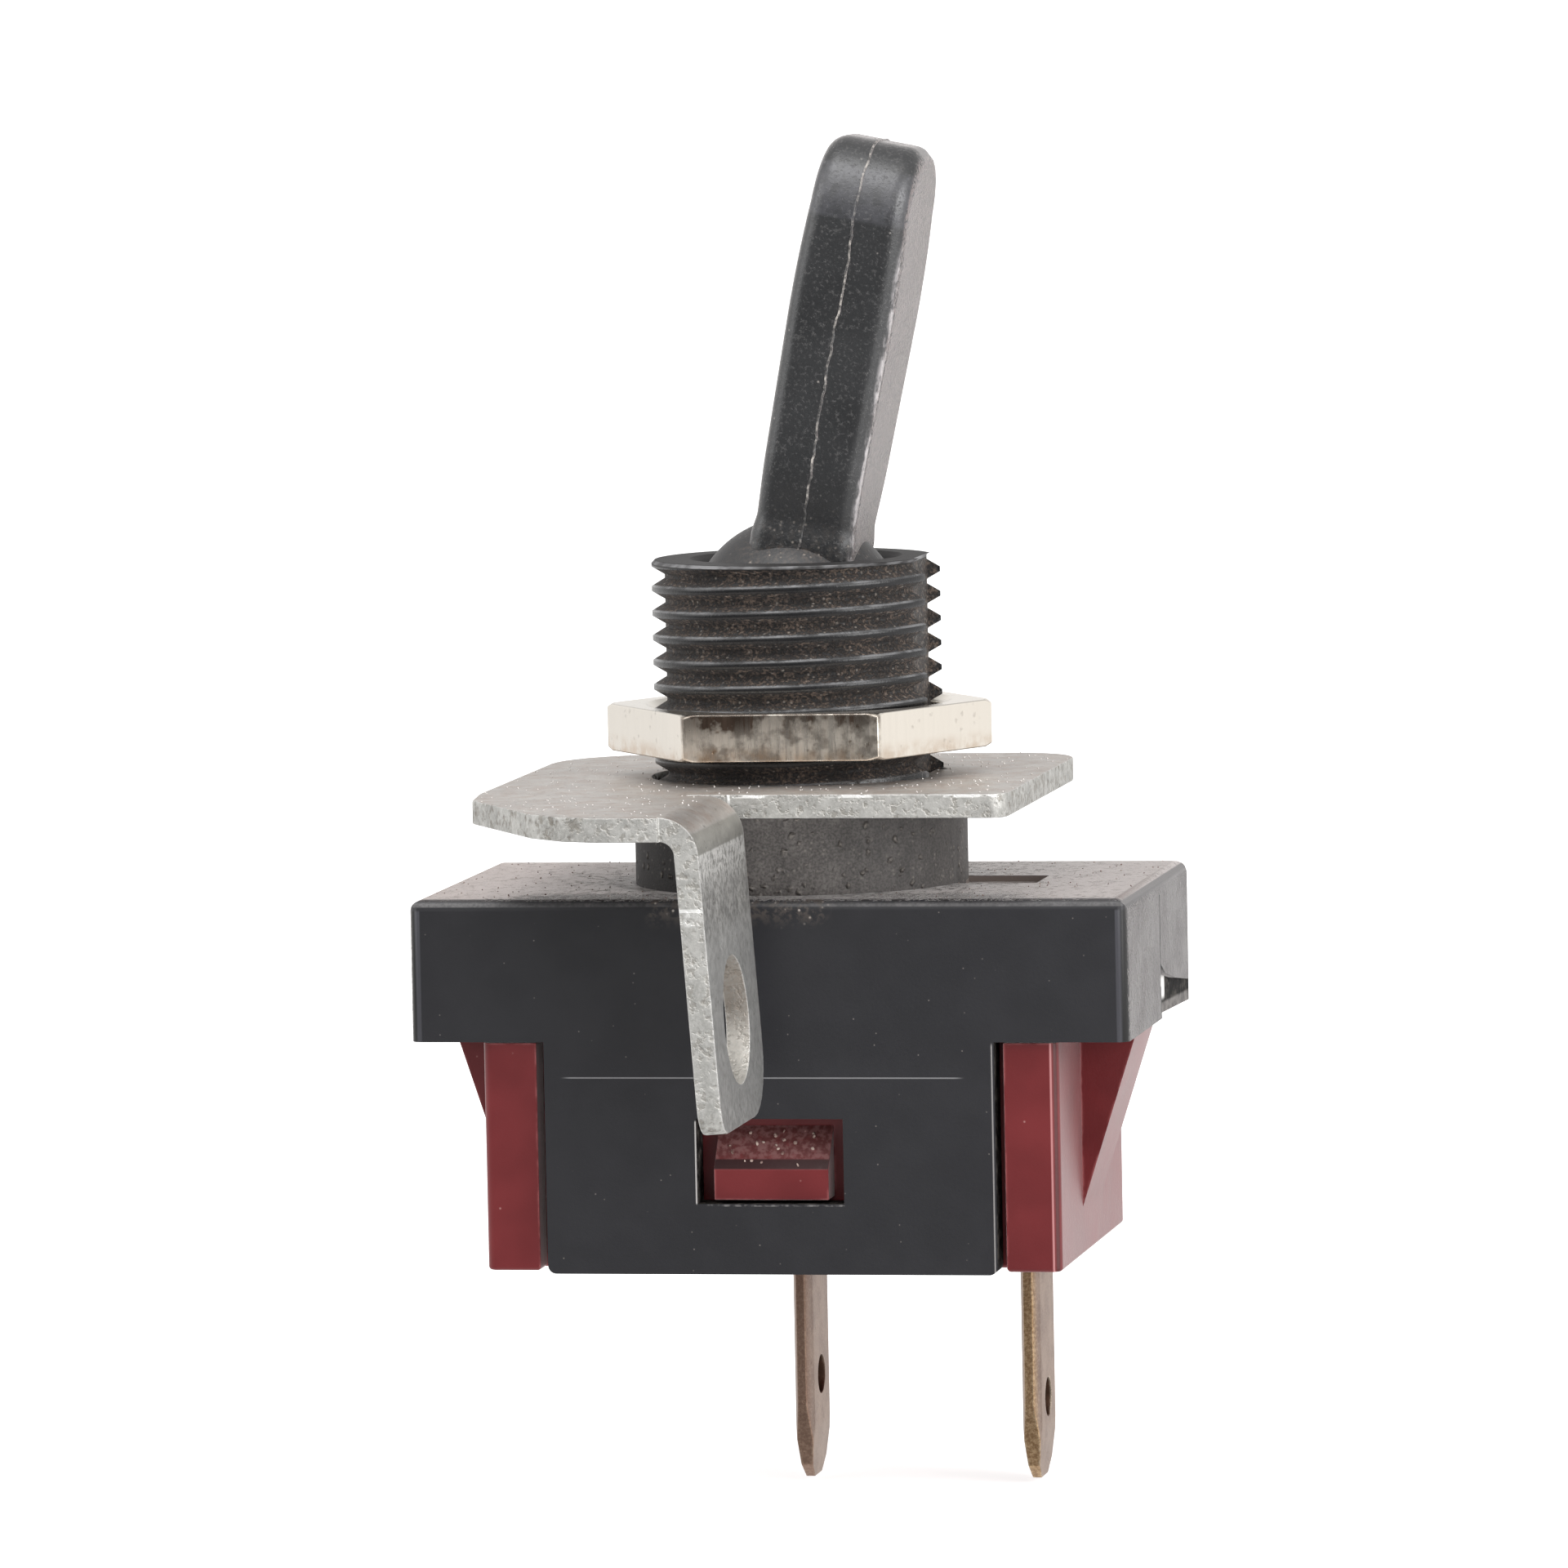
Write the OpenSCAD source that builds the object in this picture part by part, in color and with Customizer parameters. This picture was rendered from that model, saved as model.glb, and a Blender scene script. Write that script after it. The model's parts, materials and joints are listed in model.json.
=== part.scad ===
// Panel-mount toggle switch with a flat lever, a clip-fit cover and spade terminals.
// Millimetres, +Z up. X is the way the lever throws, -Y is the front.
// The origin is on the bushing axis, at the neck shoulder that the earth plate sits on.

/* [Bushing and neck] */
// Outside diameter of the bushing, over the thread
bush_d = 12; // [11.8:0.1:12.2]
// Height of the bushing rim above the neck shoulder
bush_h = 10; // [9.5:0.1:10.4]
// Diameter of the neck under the plate
neck_d = 13.8; // [13.4:0.1:15]
// Height of the neck
neck_h = 3.45; // [3:0.05:4.2]
// Width of the keyway down the bushing
key_w = 3.6; // [2:0.1:3.8]
// Depth of the keyway
key_depth = 0.8; // [0.5:0.05:0.9]

/* [Cover] */
// Width of the cover along the throw
cover_w = 29.8; // [29:0.1:33]
// Depth of the cover, front to back
cover_d = 17; // [16.5:0.1:19]
// Height of the cover's closed band
cover_h = 5.85; // [5.5:0.05:6.4]
// Wall of the cover
cover_wall = 1.4; // [1.2:0.1:1.6]
// Rounding of the cover's long top edges
cover_edge = 0.45; // [0.3:0.05:0.7]
// Rounding of the top edges at the cover's ends
end_edge = 0.6; // [0.4:0.05:0.9]
// Reach of the shallow pocket beside the neck, from the axis
pocket_reach = 10.1; // [9.5:0.1:11]
// Width of the shallow pocket, front to back
pocket_w = 3.3; // [2.5:0.1:4]
// Depth of the shallow pocket
pocket_deep = 0.25; // [0.15:0.05:0.4]
// Width of the snap flaps
flap_w = 18.7; // [16:0.1:19]
// Length of the snap flaps below the band
flap_l = 9.55; // [9.2:0.05:10]
// Width of the window in each flap
window_w = 6.1; // [5.5:0.1:7]
// Height of the window in each flap
window_h = 3.5; // [3:0.1:3.8]
// Height of the web of flap under the window
window_sill = 2.9; // [2.5:0.1:3.2]

/* [Base] */
// Width of the base along the throw
base_w = 23.9; // [23.2:0.1:24.4]
// How far the posts stand behind the cover's face
post_set = 0.2; // [0.1:0.05:0.4]
// Width of each snap lug
lug_w = 4.75; // [4:0.05:5.2]
// Height of each lug's front face
lug_h = 1.25; // [0.9:0.05:1.6]
// Width of the end wedges, front to back
wedge_w = 5; // [4:0.1:7]
// How far the end wedges stand out under the band
wedge_out = 2.4; // [1.6:0.05:2.7]
// Height of the end wedges
wedge_h = 7.4; // [5:0.05:8]

/* [Lever] */
// Tilt of the lever either side of upright, in degrees
lever_tilt = 11.4; // [9:0.2:11.6]
// Height of the lever's pivot above the shoulder
pivot_z = 7.16; // [7.1:0.02:7.3]
// Diameter of the lever's ball
ball_d = 9; // [8.8:0.05:9.1]
// Length of the paddle from the pivot to its tip
paddle_l = 20.45; // [16:0.05:26]
// Greatest thickness of the paddle, along the throw
paddle_t = 4.45; // [4.2:0.05:4.8]
// Thickness of the paddle at its tip
crown_t = 4.15; // [3.6:0.05:4.4]
// Thickness of the paddle at the ball
root_t = 4.15; // [3.6:0.05:4.4]
// Depth of the paddle at the ball
paddle_root = 6.6; // [5:0.1:6.8]
// Depth of the paddle at its tip
paddle_tip = 7.4; // [6.4:0.1:10]
// Rounding of the paddle's tip corners, seen from the side
paddle_corner = 3; // [2:0.1:3.2]
// Rounding of the paddle's long edges
paddle_edge = 0.75; // [0.4:0.05:0.9]
// Diameter of the cross pin through the ball
pin_d = 2; // [1.6:0.1:2.2]

/* [Nut and plate] */
// Nut size across flats
nut_af = 13.9; // [13.6:0.1:17]
// Nut thickness
nut_t = 1.95; // [1.6:0.05:2.4]
// Gap between the nut and the plate, where the panel goes
panel_gap = 1.05; // [0.6:0.05:3]
// Turn of the nut about the bushing, in degrees
nut_turn = 4; // [0:1:60]
// Thickness of the plate sheet
plate_t = 1; // [0.8:0.05:1.2]
// Reach of the plate toward the switched side
plate_right = 10.3; // [9.6:0.1:12]
// Reach of the plate the other way
plate_left = 11.65; // [10.5:0.05:12.5]
// Reach of the plate to the back
plate_back = 9.6; // [9:0.1:11]
// Reach of the plate's front edge
plate_front = 10.1; // [9.4:0.1:10.2]
// How far the tongue comes forward of the bushing axis
tongue_front = 20.6; // [19.6:0.1:22]
// Length of the tongue's slanted side, front to back
slant_l = 8.4; // [7:0.1:9.5]
// Width that the tongue's slanted side takes off
slant_w = 5.6; // [4.5:0.1:6.5]
// Length of the lug below the plate's top face
earth_drop = 12.9; // [11.5:0.1:15]
// Width of the lug, front to back
earth_w = 9.8; // [9:0.1:10]
// Fold angle of the lug, in degrees
earth_fold = 86; // [80:1:90]
// Diameter of the hole in the lug
earth_hole = 5.2; // [4:0.1:5.4]

/* [Terminals] */
// Width of the spades
spade_w = 4.8; // [4.6:0.1:4.9]
// Thickness of the spades
spade_t = 0.8; // [0.7:0.05:0.85]
// Depth of the spade tips below the shoulder
spade_tip = 28.3; // [26:0.1:30]
// Distance of the outer spade from the base's end
spade_inset = 2.4; // [2.25:0.05:2.5]
// Diameter of the holes in the spades
spade_hole = 1.6; // [1.2:0.05:1.8]
// Height of the middle spade's hole above its tip
common_hole_up = 4.2; // [3:0.1:5]
// Height of the outer spade's hole above its tip
switched_hole_up = 3.3; // [3:0.1:5]

/* [Contacts] */
// Half throw of the rocker, in degrees
rocker_throw = 7; // [5:0.5:7]
// Rise of each rocker arm from level, in degrees
rocker_rise = 10; // [9:0.5:10]
// Thickness of the rocker strip
rocker_t = 0.8; // [0.7:0.05:0.9]
// Width of the rocker strip
rocker_w = 5; // [4.6:0.1:5.4]
// Diameter of the contact buttons
contact_d = 3; // [2.4:0.1:3.2]

/* [Hidden] */
eps = 0.02;
$fn = 64;
// Running clearance on a radius
run = 0.06;
// Levels below the shoulder
band_top = -neck_h;
band_bot = band_top - cover_h;
flap_bot = band_bot - flap_l;
ceiling = band_top - cover_wall;
base_bot = flap_bot + 0.1;
base_top = band_bot + 3.3;
floor_top = base_bot + 1.75;
// Place of the mould seam on the cover's ends
seam_y = 0.4;
// Base sizes
base_y = cover_d / 2 - cover_wall - 0.15;
post_y = cover_d / 2 - post_set;
post_x = flap_w / 2 + 0.35;
room_x = base_w / 2 - 1.5;
room_y = base_y - 1.5;
// Distance of the outer spade from the middle one
spade_pitch = base_w / 2 - spade_inset;
// Ball seat, bore and lever sizes
ball_r = ball_d / 2;
seat_r = ball_r + 0.14;
bore_r = seat_r + 0.08;
stem_r = 2.8;
stem_l = 11.5;
well_r = 1.72;
plunger_r = well_r - run;
tip_r = 1.6;
tip_l = 14.9;
spring_r = 1.5;
well_top = -3;
// Half lengths of the cross pin and of its groove
pin_half = ball_r + 0.7;
groove_half = pin_half + 0.1;
seat_z = -8.2;
rest_gap = 1.8;
// Rocker: its V sits just under the plunger's lowest pass
vee_z = pivot_z - tip_l - rest_gap;
saddle_r = spade_t / 2;
saddle_z = vee_z - 0.91;
arm_l = room_x - 0.95;
contact_x = arm_l - 1.1;
stop_x = arm_l - 1.6;
contact_h = 0.9;
button_h = 0.8;
// Height of the fixed button's face, from the moving button's place when closed
closed = rocker_rise - rocker_throw;
arm_low = vee_z - rocker_t / cos(rocker_rise) - saddle_z;
button_x = contact_x + contact_h * sin(rocker_rise);
button_z = arm_low + contact_x * tan(rocker_rise) - contact_h * cos(rocker_rise);
face_x = button_x * cos(rocker_throw) + button_z * sin(rocker_throw);
face_z = saddle_z - button_x * sin(rocker_throw) + button_z * cos(rocker_throw)
    - contact_d / 2 * sin(closed) - 0.07;
// Fold of the lug
fold_r = 0.6;
fold_x = -2;
lug_y0 = -plate_front - 0.5 - earth_w;
lug_run = (earth_drop - fold_r - plate_t) / sin(earth_fold);

// Small shared shapes

// Box between two corners
module block(a, b) {
    translate(a) cube([b[0] - a[0], b[1] - a[1], b[2] - a[2]]);
}

// Box centred on X and Y, with its upright edges rounded
module round_block(w, d, z0, z1, r) {
    block([-w / 2 + r, -d / 2, z0], [w / 2 - r, d / 2, z1]);
    block([-w / 2, -d / 2 + r, z0], [w / 2, d / 2 - r, z1]);
    for (sx = [-1, 1], sy = [-1, 1])
        translate([sx * (w / 2 - r), sy * (d / 2 - r), z0])
            cylinder(h = z1 - z0, r = r);
}

// Points of an arc, for outlines
function arc(cx, cy, r, a0, a1, n) =
    [for (i = [0:n]) [cx + r * cos(a0 + (a1 - a0) * i / n), cy + r * sin(a0 + (a1 - a0) * i / n)]];

// Outline of a band with two rounded top corners, w wide, from z0 up to z1
function band_outline(w, z0, z1, r) = concat(
    [[-w / 2, z0], [w / 2, z0]],
    arc(w / 2 - r, z1 - r, r, 0, 90, 5),
    arc(-w / 2 + r, z1 - r, r, 90, 180, 5));

// Carries a piece drawn about the lever's own axis to its place
module on_lever() {
    translate([0, 0, pivot_z]) rotate([0, lever_tilt, 0]) children();
}

// Carries a piece drawn about the rocker's own axis to its place
module on_rocker() {
    translate([0, 0, saddle_z]) rotate([0, -rocker_throw, 0]) children();
}

// Lever group

// One rounded end corner of the paddle: discs whose sizes follow a quarter round
module paddle_corner(y, z, r, t) {
    steps = 4;
    for (i = [0:steps]) {
        a = 90 * i / steps;
        h = t - 2 * paddle_edge * (1 - cos(a));
        translate([-h / 2, y, z]) rotate([0, 90, 0])
            cylinder(h = h, r = r - paddle_edge * (1 - sin(a)), $fn = 32);
    }
}

module toggle_lever() {
    root_r = 1;
    root_z = 2.2;
    belly_z = paddle_l - 2 * paddle_corner;
    belly = paddle_root
        + (paddle_tip - paddle_root) * (belly_z - root_z) / (belly_z + paddle_corner - root_z);
    color([0.13, 0.13, 0.14]) on_lever() difference() {
        union() {
            hull() for (s = [-1, 1]) {
                paddle_corner(s * (paddle_tip / 2 - paddle_corner), paddle_l - paddle_corner,
                    paddle_corner, crown_t);
                paddle_corner(s * (belly / 2 - root_r), belly_z, root_r, paddle_t);
                paddle_corner(s * (paddle_root / 2 - root_r), root_z, root_r, root_t);
            }
            sphere(r = ball_r);
            translate([0, 0, -stem_l]) cylinder(h = stem_l - 2, r = stem_r);
        }
        translate([0, 0, -stem_l - 1]) cylinder(h = stem_l + 1 + well_top, r = well_r);
        translate([0, pin_half, 0]) rotate([90, 0, 0])
            cylinder(h = 2 * pin_half, r = pin_d / 2 + eps / 2);
    }
}

module pivot_pin() {
    color([0.6, 0.6, 0.58]) on_lever()
        translate([0, pin_half, 0]) rotate([90, 0, 0]) cylinder(h = 2 * pin_half, r = pin_d / 2);
}

module plunger() {
    color([0.85, 0.83, 0.76]) on_lever() {
        translate([0, 0, -tip_l]) cylinder(h = tip_l + seat_z - 0.8, r = tip_r);
        translate([0, 0, -tip_l + 2.6]) cylinder(h = tip_l - 2.6 + seat_z, r = plunger_r);
        translate([0, 0, -tip_l]) sphere(r = tip_r);
    }
}

// Plain tube of the coil's own size
module plunger_spring() {
    color([0.62, 0.63, 0.65]) on_lever()
        translate([0, 0, seat_z]) difference() {
            cylinder(h = well_top - seat_z, r = spring_r);
            translate([0, 0, -1]) cylinder(h = well_top - seat_z + 2, r = spring_r - 0.4);
        }
}

// Cover with its bushing

// Space turned out of the bushing: ball seat, bore and the stem's swing room
module bushing_bore() {
    flare = 0.45;
    lip = asin((bush_h - flare - pivot_z) / seat_r);
    mouth = seat_r * cos(lip);
    well = neck_d / 2 - 1.3;
    rotate_extrude(convexity = 4) polygon(concat(
        [[0, ceiling - 1], [well, ceiling - 1], [well, -1.6], [bore_r, 0.2], [bore_r, pivot_z - 2]],
        arc(0, pivot_z, seat_r, -9, lip, 7),
        [[mouth + flare, bush_h], [mouth + flare, bush_h + 0.3], [0, bush_h + 0.3]]));
}

module bushing() {
    lead = 0.15;
    translate([0, 0, band_top - eps]) cylinder(h = neck_h + eps, d = neck_d);
    translate([0, 0, -eps]) cylinder(h = bush_h - lead + eps, d = bush_d);
    translate([0, 0, bush_h - lead]) cylinder(h = lead, d1 = bush_d, d2 = bush_d - 2 * lead);
}

// Snap flap hanging from one long side, drawn on the front
module flap() {
    r = 0.35;
    y0 = -cover_d / 2;
    block([-flap_w / 2, y0, flap_bot + r], [flap_w / 2, y0 + cover_wall, band_bot + eps]);
    block([-flap_w / 2 + r, y0, flap_bot], [flap_w / 2 - r, y0 + cover_wall, flap_bot + 2 * r]);
    for (s = [-1, 1])
        translate([s * (flap_w / 2 - r), y0 + cover_wall, flap_bot + r]) rotate([90, 0, 0])
            cylinder(h = cover_wall, r = r);
}

// Break at the lower back corner of the switched end, deepest at the mould seam
module end_chip() {
    fall = 2.3;
    deep = 0.5;
    reach = cover_d / 2 - seam_y;
    translate([cover_w / 2 - deep, seam_y, band_bot]) rotate([0, 0, -atan(deep / reach)])
        rotate([90, 0, 90]) linear_extrude(height = 2) polygon([
            [0, fall], [1.2, fall * 0.78], [3.8, fall * 0.58], [reach + 1, 0.7],
            [reach + 1, -0.1], [0.2, -0.1]]);
}

module housing_cover() {
    win_bot = flap_bot + window_sill;
    seam = 0.1;
    drop = pin_d / 2 + run / 2;
    color([0.16, 0.165, 0.18]) difference() {
        union() {
            intersection() {
                round_block(cover_w, cover_d, band_bot, band_top, 0.5);
                translate([0, cover_d / 2 + 1, 0]) rotate([90, 0, 0])
                    linear_extrude(height = cover_d + 2)
                        polygon(band_outline(cover_w, band_bot, band_top, end_edge));
                translate([-cover_w / 2 - 1, 0, 0]) rotate([90, 0, 90])
                    linear_extrude(height = cover_w + 2)
                        polygon(band_outline(cover_d, band_bot, band_top, cover_edge));
            }
            bushing();
            flap();
            mirror([0, 1, 0]) flap();
        }
        block([-cover_w / 2 + cover_wall + 0.1, -cover_d / 2 + cover_wall, band_bot - 1],
            [cover_w / 2 - cover_wall - 0.1, cover_d / 2 - cover_wall, ceiling]);
        bushing_bore();
        // Grooves that the cross pin drops into from below
        block([-drop, -groove_half, ceiling - 1], [drop, groove_half, pivot_z]);
        translate([0, groove_half, pivot_z]) rotate([90, 0, 0])
            cylinder(h = 2 * groove_half, r = pin_d / 2 + run);
        // Keyway down the bushing
        block([bush_d / 2 - key_depth, -key_w / 2, 0], [bush_d, key_w / 2, bush_h + 1]);
        // Shallow pocket beside the neck
        difference() {
            block([2, -pocket_w / 2, band_top - pocket_deep], [pocket_reach, pocket_w / 2, band_top + 1]);
            translate([0, 0, band_top - 1]) cylinder(h = 3, d = neck_d);
        }
        // Windows for the base's lugs
        block([-window_w / 2, -cover_d, win_bot], [window_w / 2, cover_d, win_bot + window_h]);
        // Mould seam on the two ends
        for (s = [-1, 1]) translate([s * cover_w / 2, seam_y, 0])
            block([-0.06, -seam / 2, band_bot - 1], [0.06, seam / 2, band_top - end_edge - 0.1]);
        end_chip();
    }
}

module hex_nut() {
    bore = bush_d / 2 + run;
    ac = nut_af / cos(30);
    cham = 0.15;
    top_d = ac - 2 * cham / tan(32);
    z0 = plate_t + panel_gap;
    color([0.86, 0.83, 0.78]) translate([0, 0, z0]) difference() {
        intersection() {
            rotate([0, 0, nut_turn]) cylinder(h = nut_t, d = ac, $fn = 6);
            union() {
                cylinder(h = 0.15, d1 = ac - 0.5, d2 = ac + 0.02);
                translate([0, 0, 0.15]) cylinder(h = nut_t - cham - 0.15, d = ac + 0.02);
                translate([0, 0, nut_t - cham]) cylinder(h = cham, d1 = ac + 0.02, d2 = top_d);
            }
        }
        translate([0, 0, -1]) cylinder(h = nut_t + 2, r = bore);
        // Countersink at both mouths
        translate([0, 0, nut_t - 0.3]) cylinder(h = 0.32, r1 = bore - eps, r2 = bore + 0.3);
        translate([0, 0, -0.02]) cylinder(h = 0.32, r1 = bore + 0.3, r2 = bore - eps);
    }
}

// Plate with the folded lug

// Flat part of the plate, drawn as an outline
module plate_flat() {
    r = 0.8;
    rb = 2.6;
    rl = 4.6;
    cut_y = tongue_front - slant_l;
    cut_x = plate_left - slant_w;
    outline = concat(
        arc(plate_right - r, -plate_front + r, r, -90, 0, 5),
        arc(plate_right - rb, plate_back - rb, rb, 0, 90, 7),
        arc(-plate_left + rl, plate_back - rl, rl, 90, 180, 10),
        [[-plate_left, -cut_y + 3], [-plate_left + 0.35, -cut_y],
            [-cut_x - 1.6, -tongue_front + 2.1], [-cut_x, -tongue_front + 0.55],
            [-cut_x + 1.5, -tongue_front]],
        [[fold_x, -tongue_front], [fold_x, -plate_front - 0.5], [fold_x - 0.8, -plate_front - 0.5],
            [fold_x - 0.8, -plate_front]]);
    linear_extrude(height = plate_t) polygon(outline);
}

// Lug after the fold, drawn flat: Y across, X along the sheet, then turned down
module earth_lug() {
    rf = 1.2;
    rb = 2.8;
    end = lug_run;
    w = earth_w;
    outline = concat(
        [[0, 0]],
        arc(end - rf, rf, rf, -90, 0, 5),
        arc(end - rb, w - rb, rb, 0, 90, 7),
        [[0, w]]);
    difference() {
        linear_extrude(height = plate_t) polygon(outline);
        translate([end - 4.2, w / 2, -1]) cylinder(h = plate_t + 2, d = earth_hole);
    }
}

module earth_plate() {
    hole_r = bush_d / 2 + 0.15;
    color([0.66, 0.66, 0.64]) {
        difference() {
            plate_flat();
            difference() {
                translate([0, 0, -1]) cylinder(h = plate_t + 2, r = hole_r);
                // Tooth that stands in the keyway
                block([bush_d / 2 - key_depth + 0.2, -key_w / 2 + 0.2, -2],
                    [bush_d, key_w / 2 - 0.2, plate_t + 2]);
            }
        }
        translate([fold_x, lug_y0 + earth_w, -fold_r]) rotate([90, 0, 0])
            rotate([0, 0, 90 - earth_fold]) rotate_extrude(angle = earth_fold)
                translate([fold_r, 0]) square([plate_t, earth_w]);
        translate([fold_x, lug_y0, -fold_r]) rotate([0, earth_fold, 0]) translate([0, 0, fold_r])
            earth_lug();
    }
}

// Base

// Snap lug on the front, with its lead-in ramp
module snap_lug() {
    low = flap_bot + window_sill + 0.15;
    face = -cover_d / 2 + 0.2;
    root = -base_y + 0.3;
    translate([-lug_w / 2, 0, 0]) rotate([90, 0, 90]) linear_extrude(height = lug_w)
        polygon([[root, low], [face, low], [face, low + lug_h], [root, low + lug_h + 2.05]]);
}

module end_wedge() {
    x0 = base_w / 2 - 0.3;
    x1 = base_w / 2;
    top = band_bot - 0.05;
    translate([0, wedge_w / 2, 0]) rotate([90, 0, 0]) linear_extrude(height = wedge_w)
        polygon([[x0, top], [x1 + wedge_out, top], [x1, top - wedge_h], [x0, top - wedge_h]]);
}

module spade_slot(x) {
    c = 0.05;
    block([x - spade_t / 2 - c, -spade_w / 2 - c, base_bot - 1],
        [x + spade_t / 2 + c, spade_w / 2 + c, floor_top + 1]);
}

module base() {
    r = 0.4;
    stop_z = saddle_z + 0.25;
    color([0.44, 0.15, 0.17]) difference() {
        union() {
            difference() {
                union() {
                    block([-base_w / 2, -base_y, base_bot], [base_w / 2, base_y, base_top]);
                    round_block(base_w, 2 * post_y, base_bot, band_bot - 0.05, r);
                }
                // Faces that the flaps lie against
                for (s = [-1, 1]) translate([0, s * (base_y + 5), 0])
                    block([-post_x, -5, base_bot - 1], [post_x, 5, band_bot + 1]);
                block([-room_x, -room_y, floor_top], [room_x, room_y, base_top + 1]);
            }
            snap_lug();
            mirror([0, 1, 0]) snap_lug();
            end_wedge();
            mirror([1, 0, 0]) end_wedge();
            // Stop under the rocker's idle arm
            block([-room_x - 0.1, -rocker_w / 2, floor_top - 0.1], [-stop_x, rocker_w / 2, stop_z]);
        }
        spade_slot(0);
        spade_slot(spade_pitch);
        spade_slot(-spade_pitch);
    }
}

// Terminals and contacts

// Spade blade in the YZ plane, from the tip up to z1, with thinned edges and a tip tapered both ways
module spade(z1, hole_z) {
    land = spade_t * 0.23;
    thin = 0.7;
    tip_w = 3.1;
    tip_cut = 0.8;
    tip_t = spade_t / 2;
    taper = 2.3;
    slope = (spade_t - tip_t) / 2 / taper;
    low = -spade_tip - 0.5;
    low_half = tip_t / 2 - 0.5 * slope;
    top_half = low_half + (z1 + 1 - low) * slope;
    half = spade_w / 2;
    difference() {
        intersection() {
            translate([0, 0, -spade_tip - 1]) linear_extrude(height = spade_tip + 1 + z1) polygon([
                [-land, -half], [land, -half], [spade_t / 2, -half + thin],
                [spade_t / 2, half - thin], [land, half], [-land, half],
                [-spade_t / 2, half - thin], [-spade_t / 2, -half + thin]]);
            translate([-2, 0, 0]) rotate([90, 0, 90]) linear_extrude(height = 4) polygon([
                [-tip_w / 2 + tip_cut, -spade_tip], [tip_w / 2 - tip_cut, -spade_tip],
                [tip_w / 2, -spade_tip + 0.6], [half, -spade_tip + 3.2], [half, z1 + 1],
                [-half, z1 + 1], [-half, -spade_tip + 3.2], [-tip_w / 2, -spade_tip + 0.6]]);
            translate([0, spade_w, 0]) rotate([90, 0, 0]) linear_extrude(height = 2 * spade_w) polygon([
                [-low_half, low], [low_half, low], [top_half, z1 + 1], [-top_half, z1 + 1]]);
        }
        translate([-2, 0, hole_z]) rotate([0, 90, 0]) cylinder(h = 4, d = spade_hole);
    }
}

module common_terminal() {
    color([0.6, 0.5, 0.43]) {
        spade(floor_top, -spade_tip + common_hole_up);
        block([-spade_t / 2, -spade_w / 2, floor_top - eps], [spade_t / 2, spade_w / 2, saddle_z]);
        translate([0, spade_w / 2, saddle_z]) rotate([90, 0, 0])
            cylinder(h = spade_w, r = saddle_r);
    }
}

module switched_terminal() {
    shelf = face_z - button_h;
    shelf_rim = 0.4;
    color([0.6, 0.5, 0.43]) {
        translate([spade_pitch, 0, 0]) spade(floor_top, -spade_tip + switched_hole_up);
        block([spade_pitch - spade_t / 2, -spade_w / 2, floor_top - eps],
            [spade_pitch + spade_t / 2, spade_w / 2, shelf]);
        block([face_x - contact_d / 2 - shelf_rim, -spade_w / 2, shelf - spade_t],
            [spade_pitch + spade_t / 2, spade_w / 2, shelf]);
    }
}

module rocker() {
    slope = tan(rocker_rise);
    up = vee_z - saddle_z;
    color([0.78, 0.6, 0.32]) on_rocker() difference() {
        translate([0, rocker_w / 2, 0]) rotate([90, 0, 0]) linear_extrude(height = rocker_w)
            polygon([[0, up], [-arm_l, up + arm_l * slope], [-arm_l, arm_low + arm_l * slope],
                [0, arm_low], [arm_l, arm_low + arm_l * slope], [arm_l, up + arm_l * slope]]);
        translate([0, rocker_w, 0]) rotate([90, 0, 0]) cylinder(h = 2 * rocker_w, r = saddle_r + 0.05);
    }
}

module moving_contact() {
    color([0.85, 0.85, 0.84]) on_rocker()
        translate([contact_x, 0, arm_low + contact_x * tan(rocker_rise)])
            rotate([0, -rocker_rise, 0]) translate([0, 0, -contact_h])
                cylinder(h = contact_h, d = contact_d);
}

module fixed_contact() {
    color([0.85, 0.85, 0.84]) translate([face_x, 0, face_z - button_h])
        cylinder(h = button_h, d = contact_d + 0.2);
}

toggle_lever();
pivot_pin();
plunger();
plunger_spring();
housing_cover();
hex_nut();
earth_plate();
base();
common_terminal();
switched_terminal();
rocker();
moving_contact();
fixed_contact();
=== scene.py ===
import json
import math

import bmesh
import bpy
import numpy as np
from mathutils import Matrix, Vector


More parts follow.
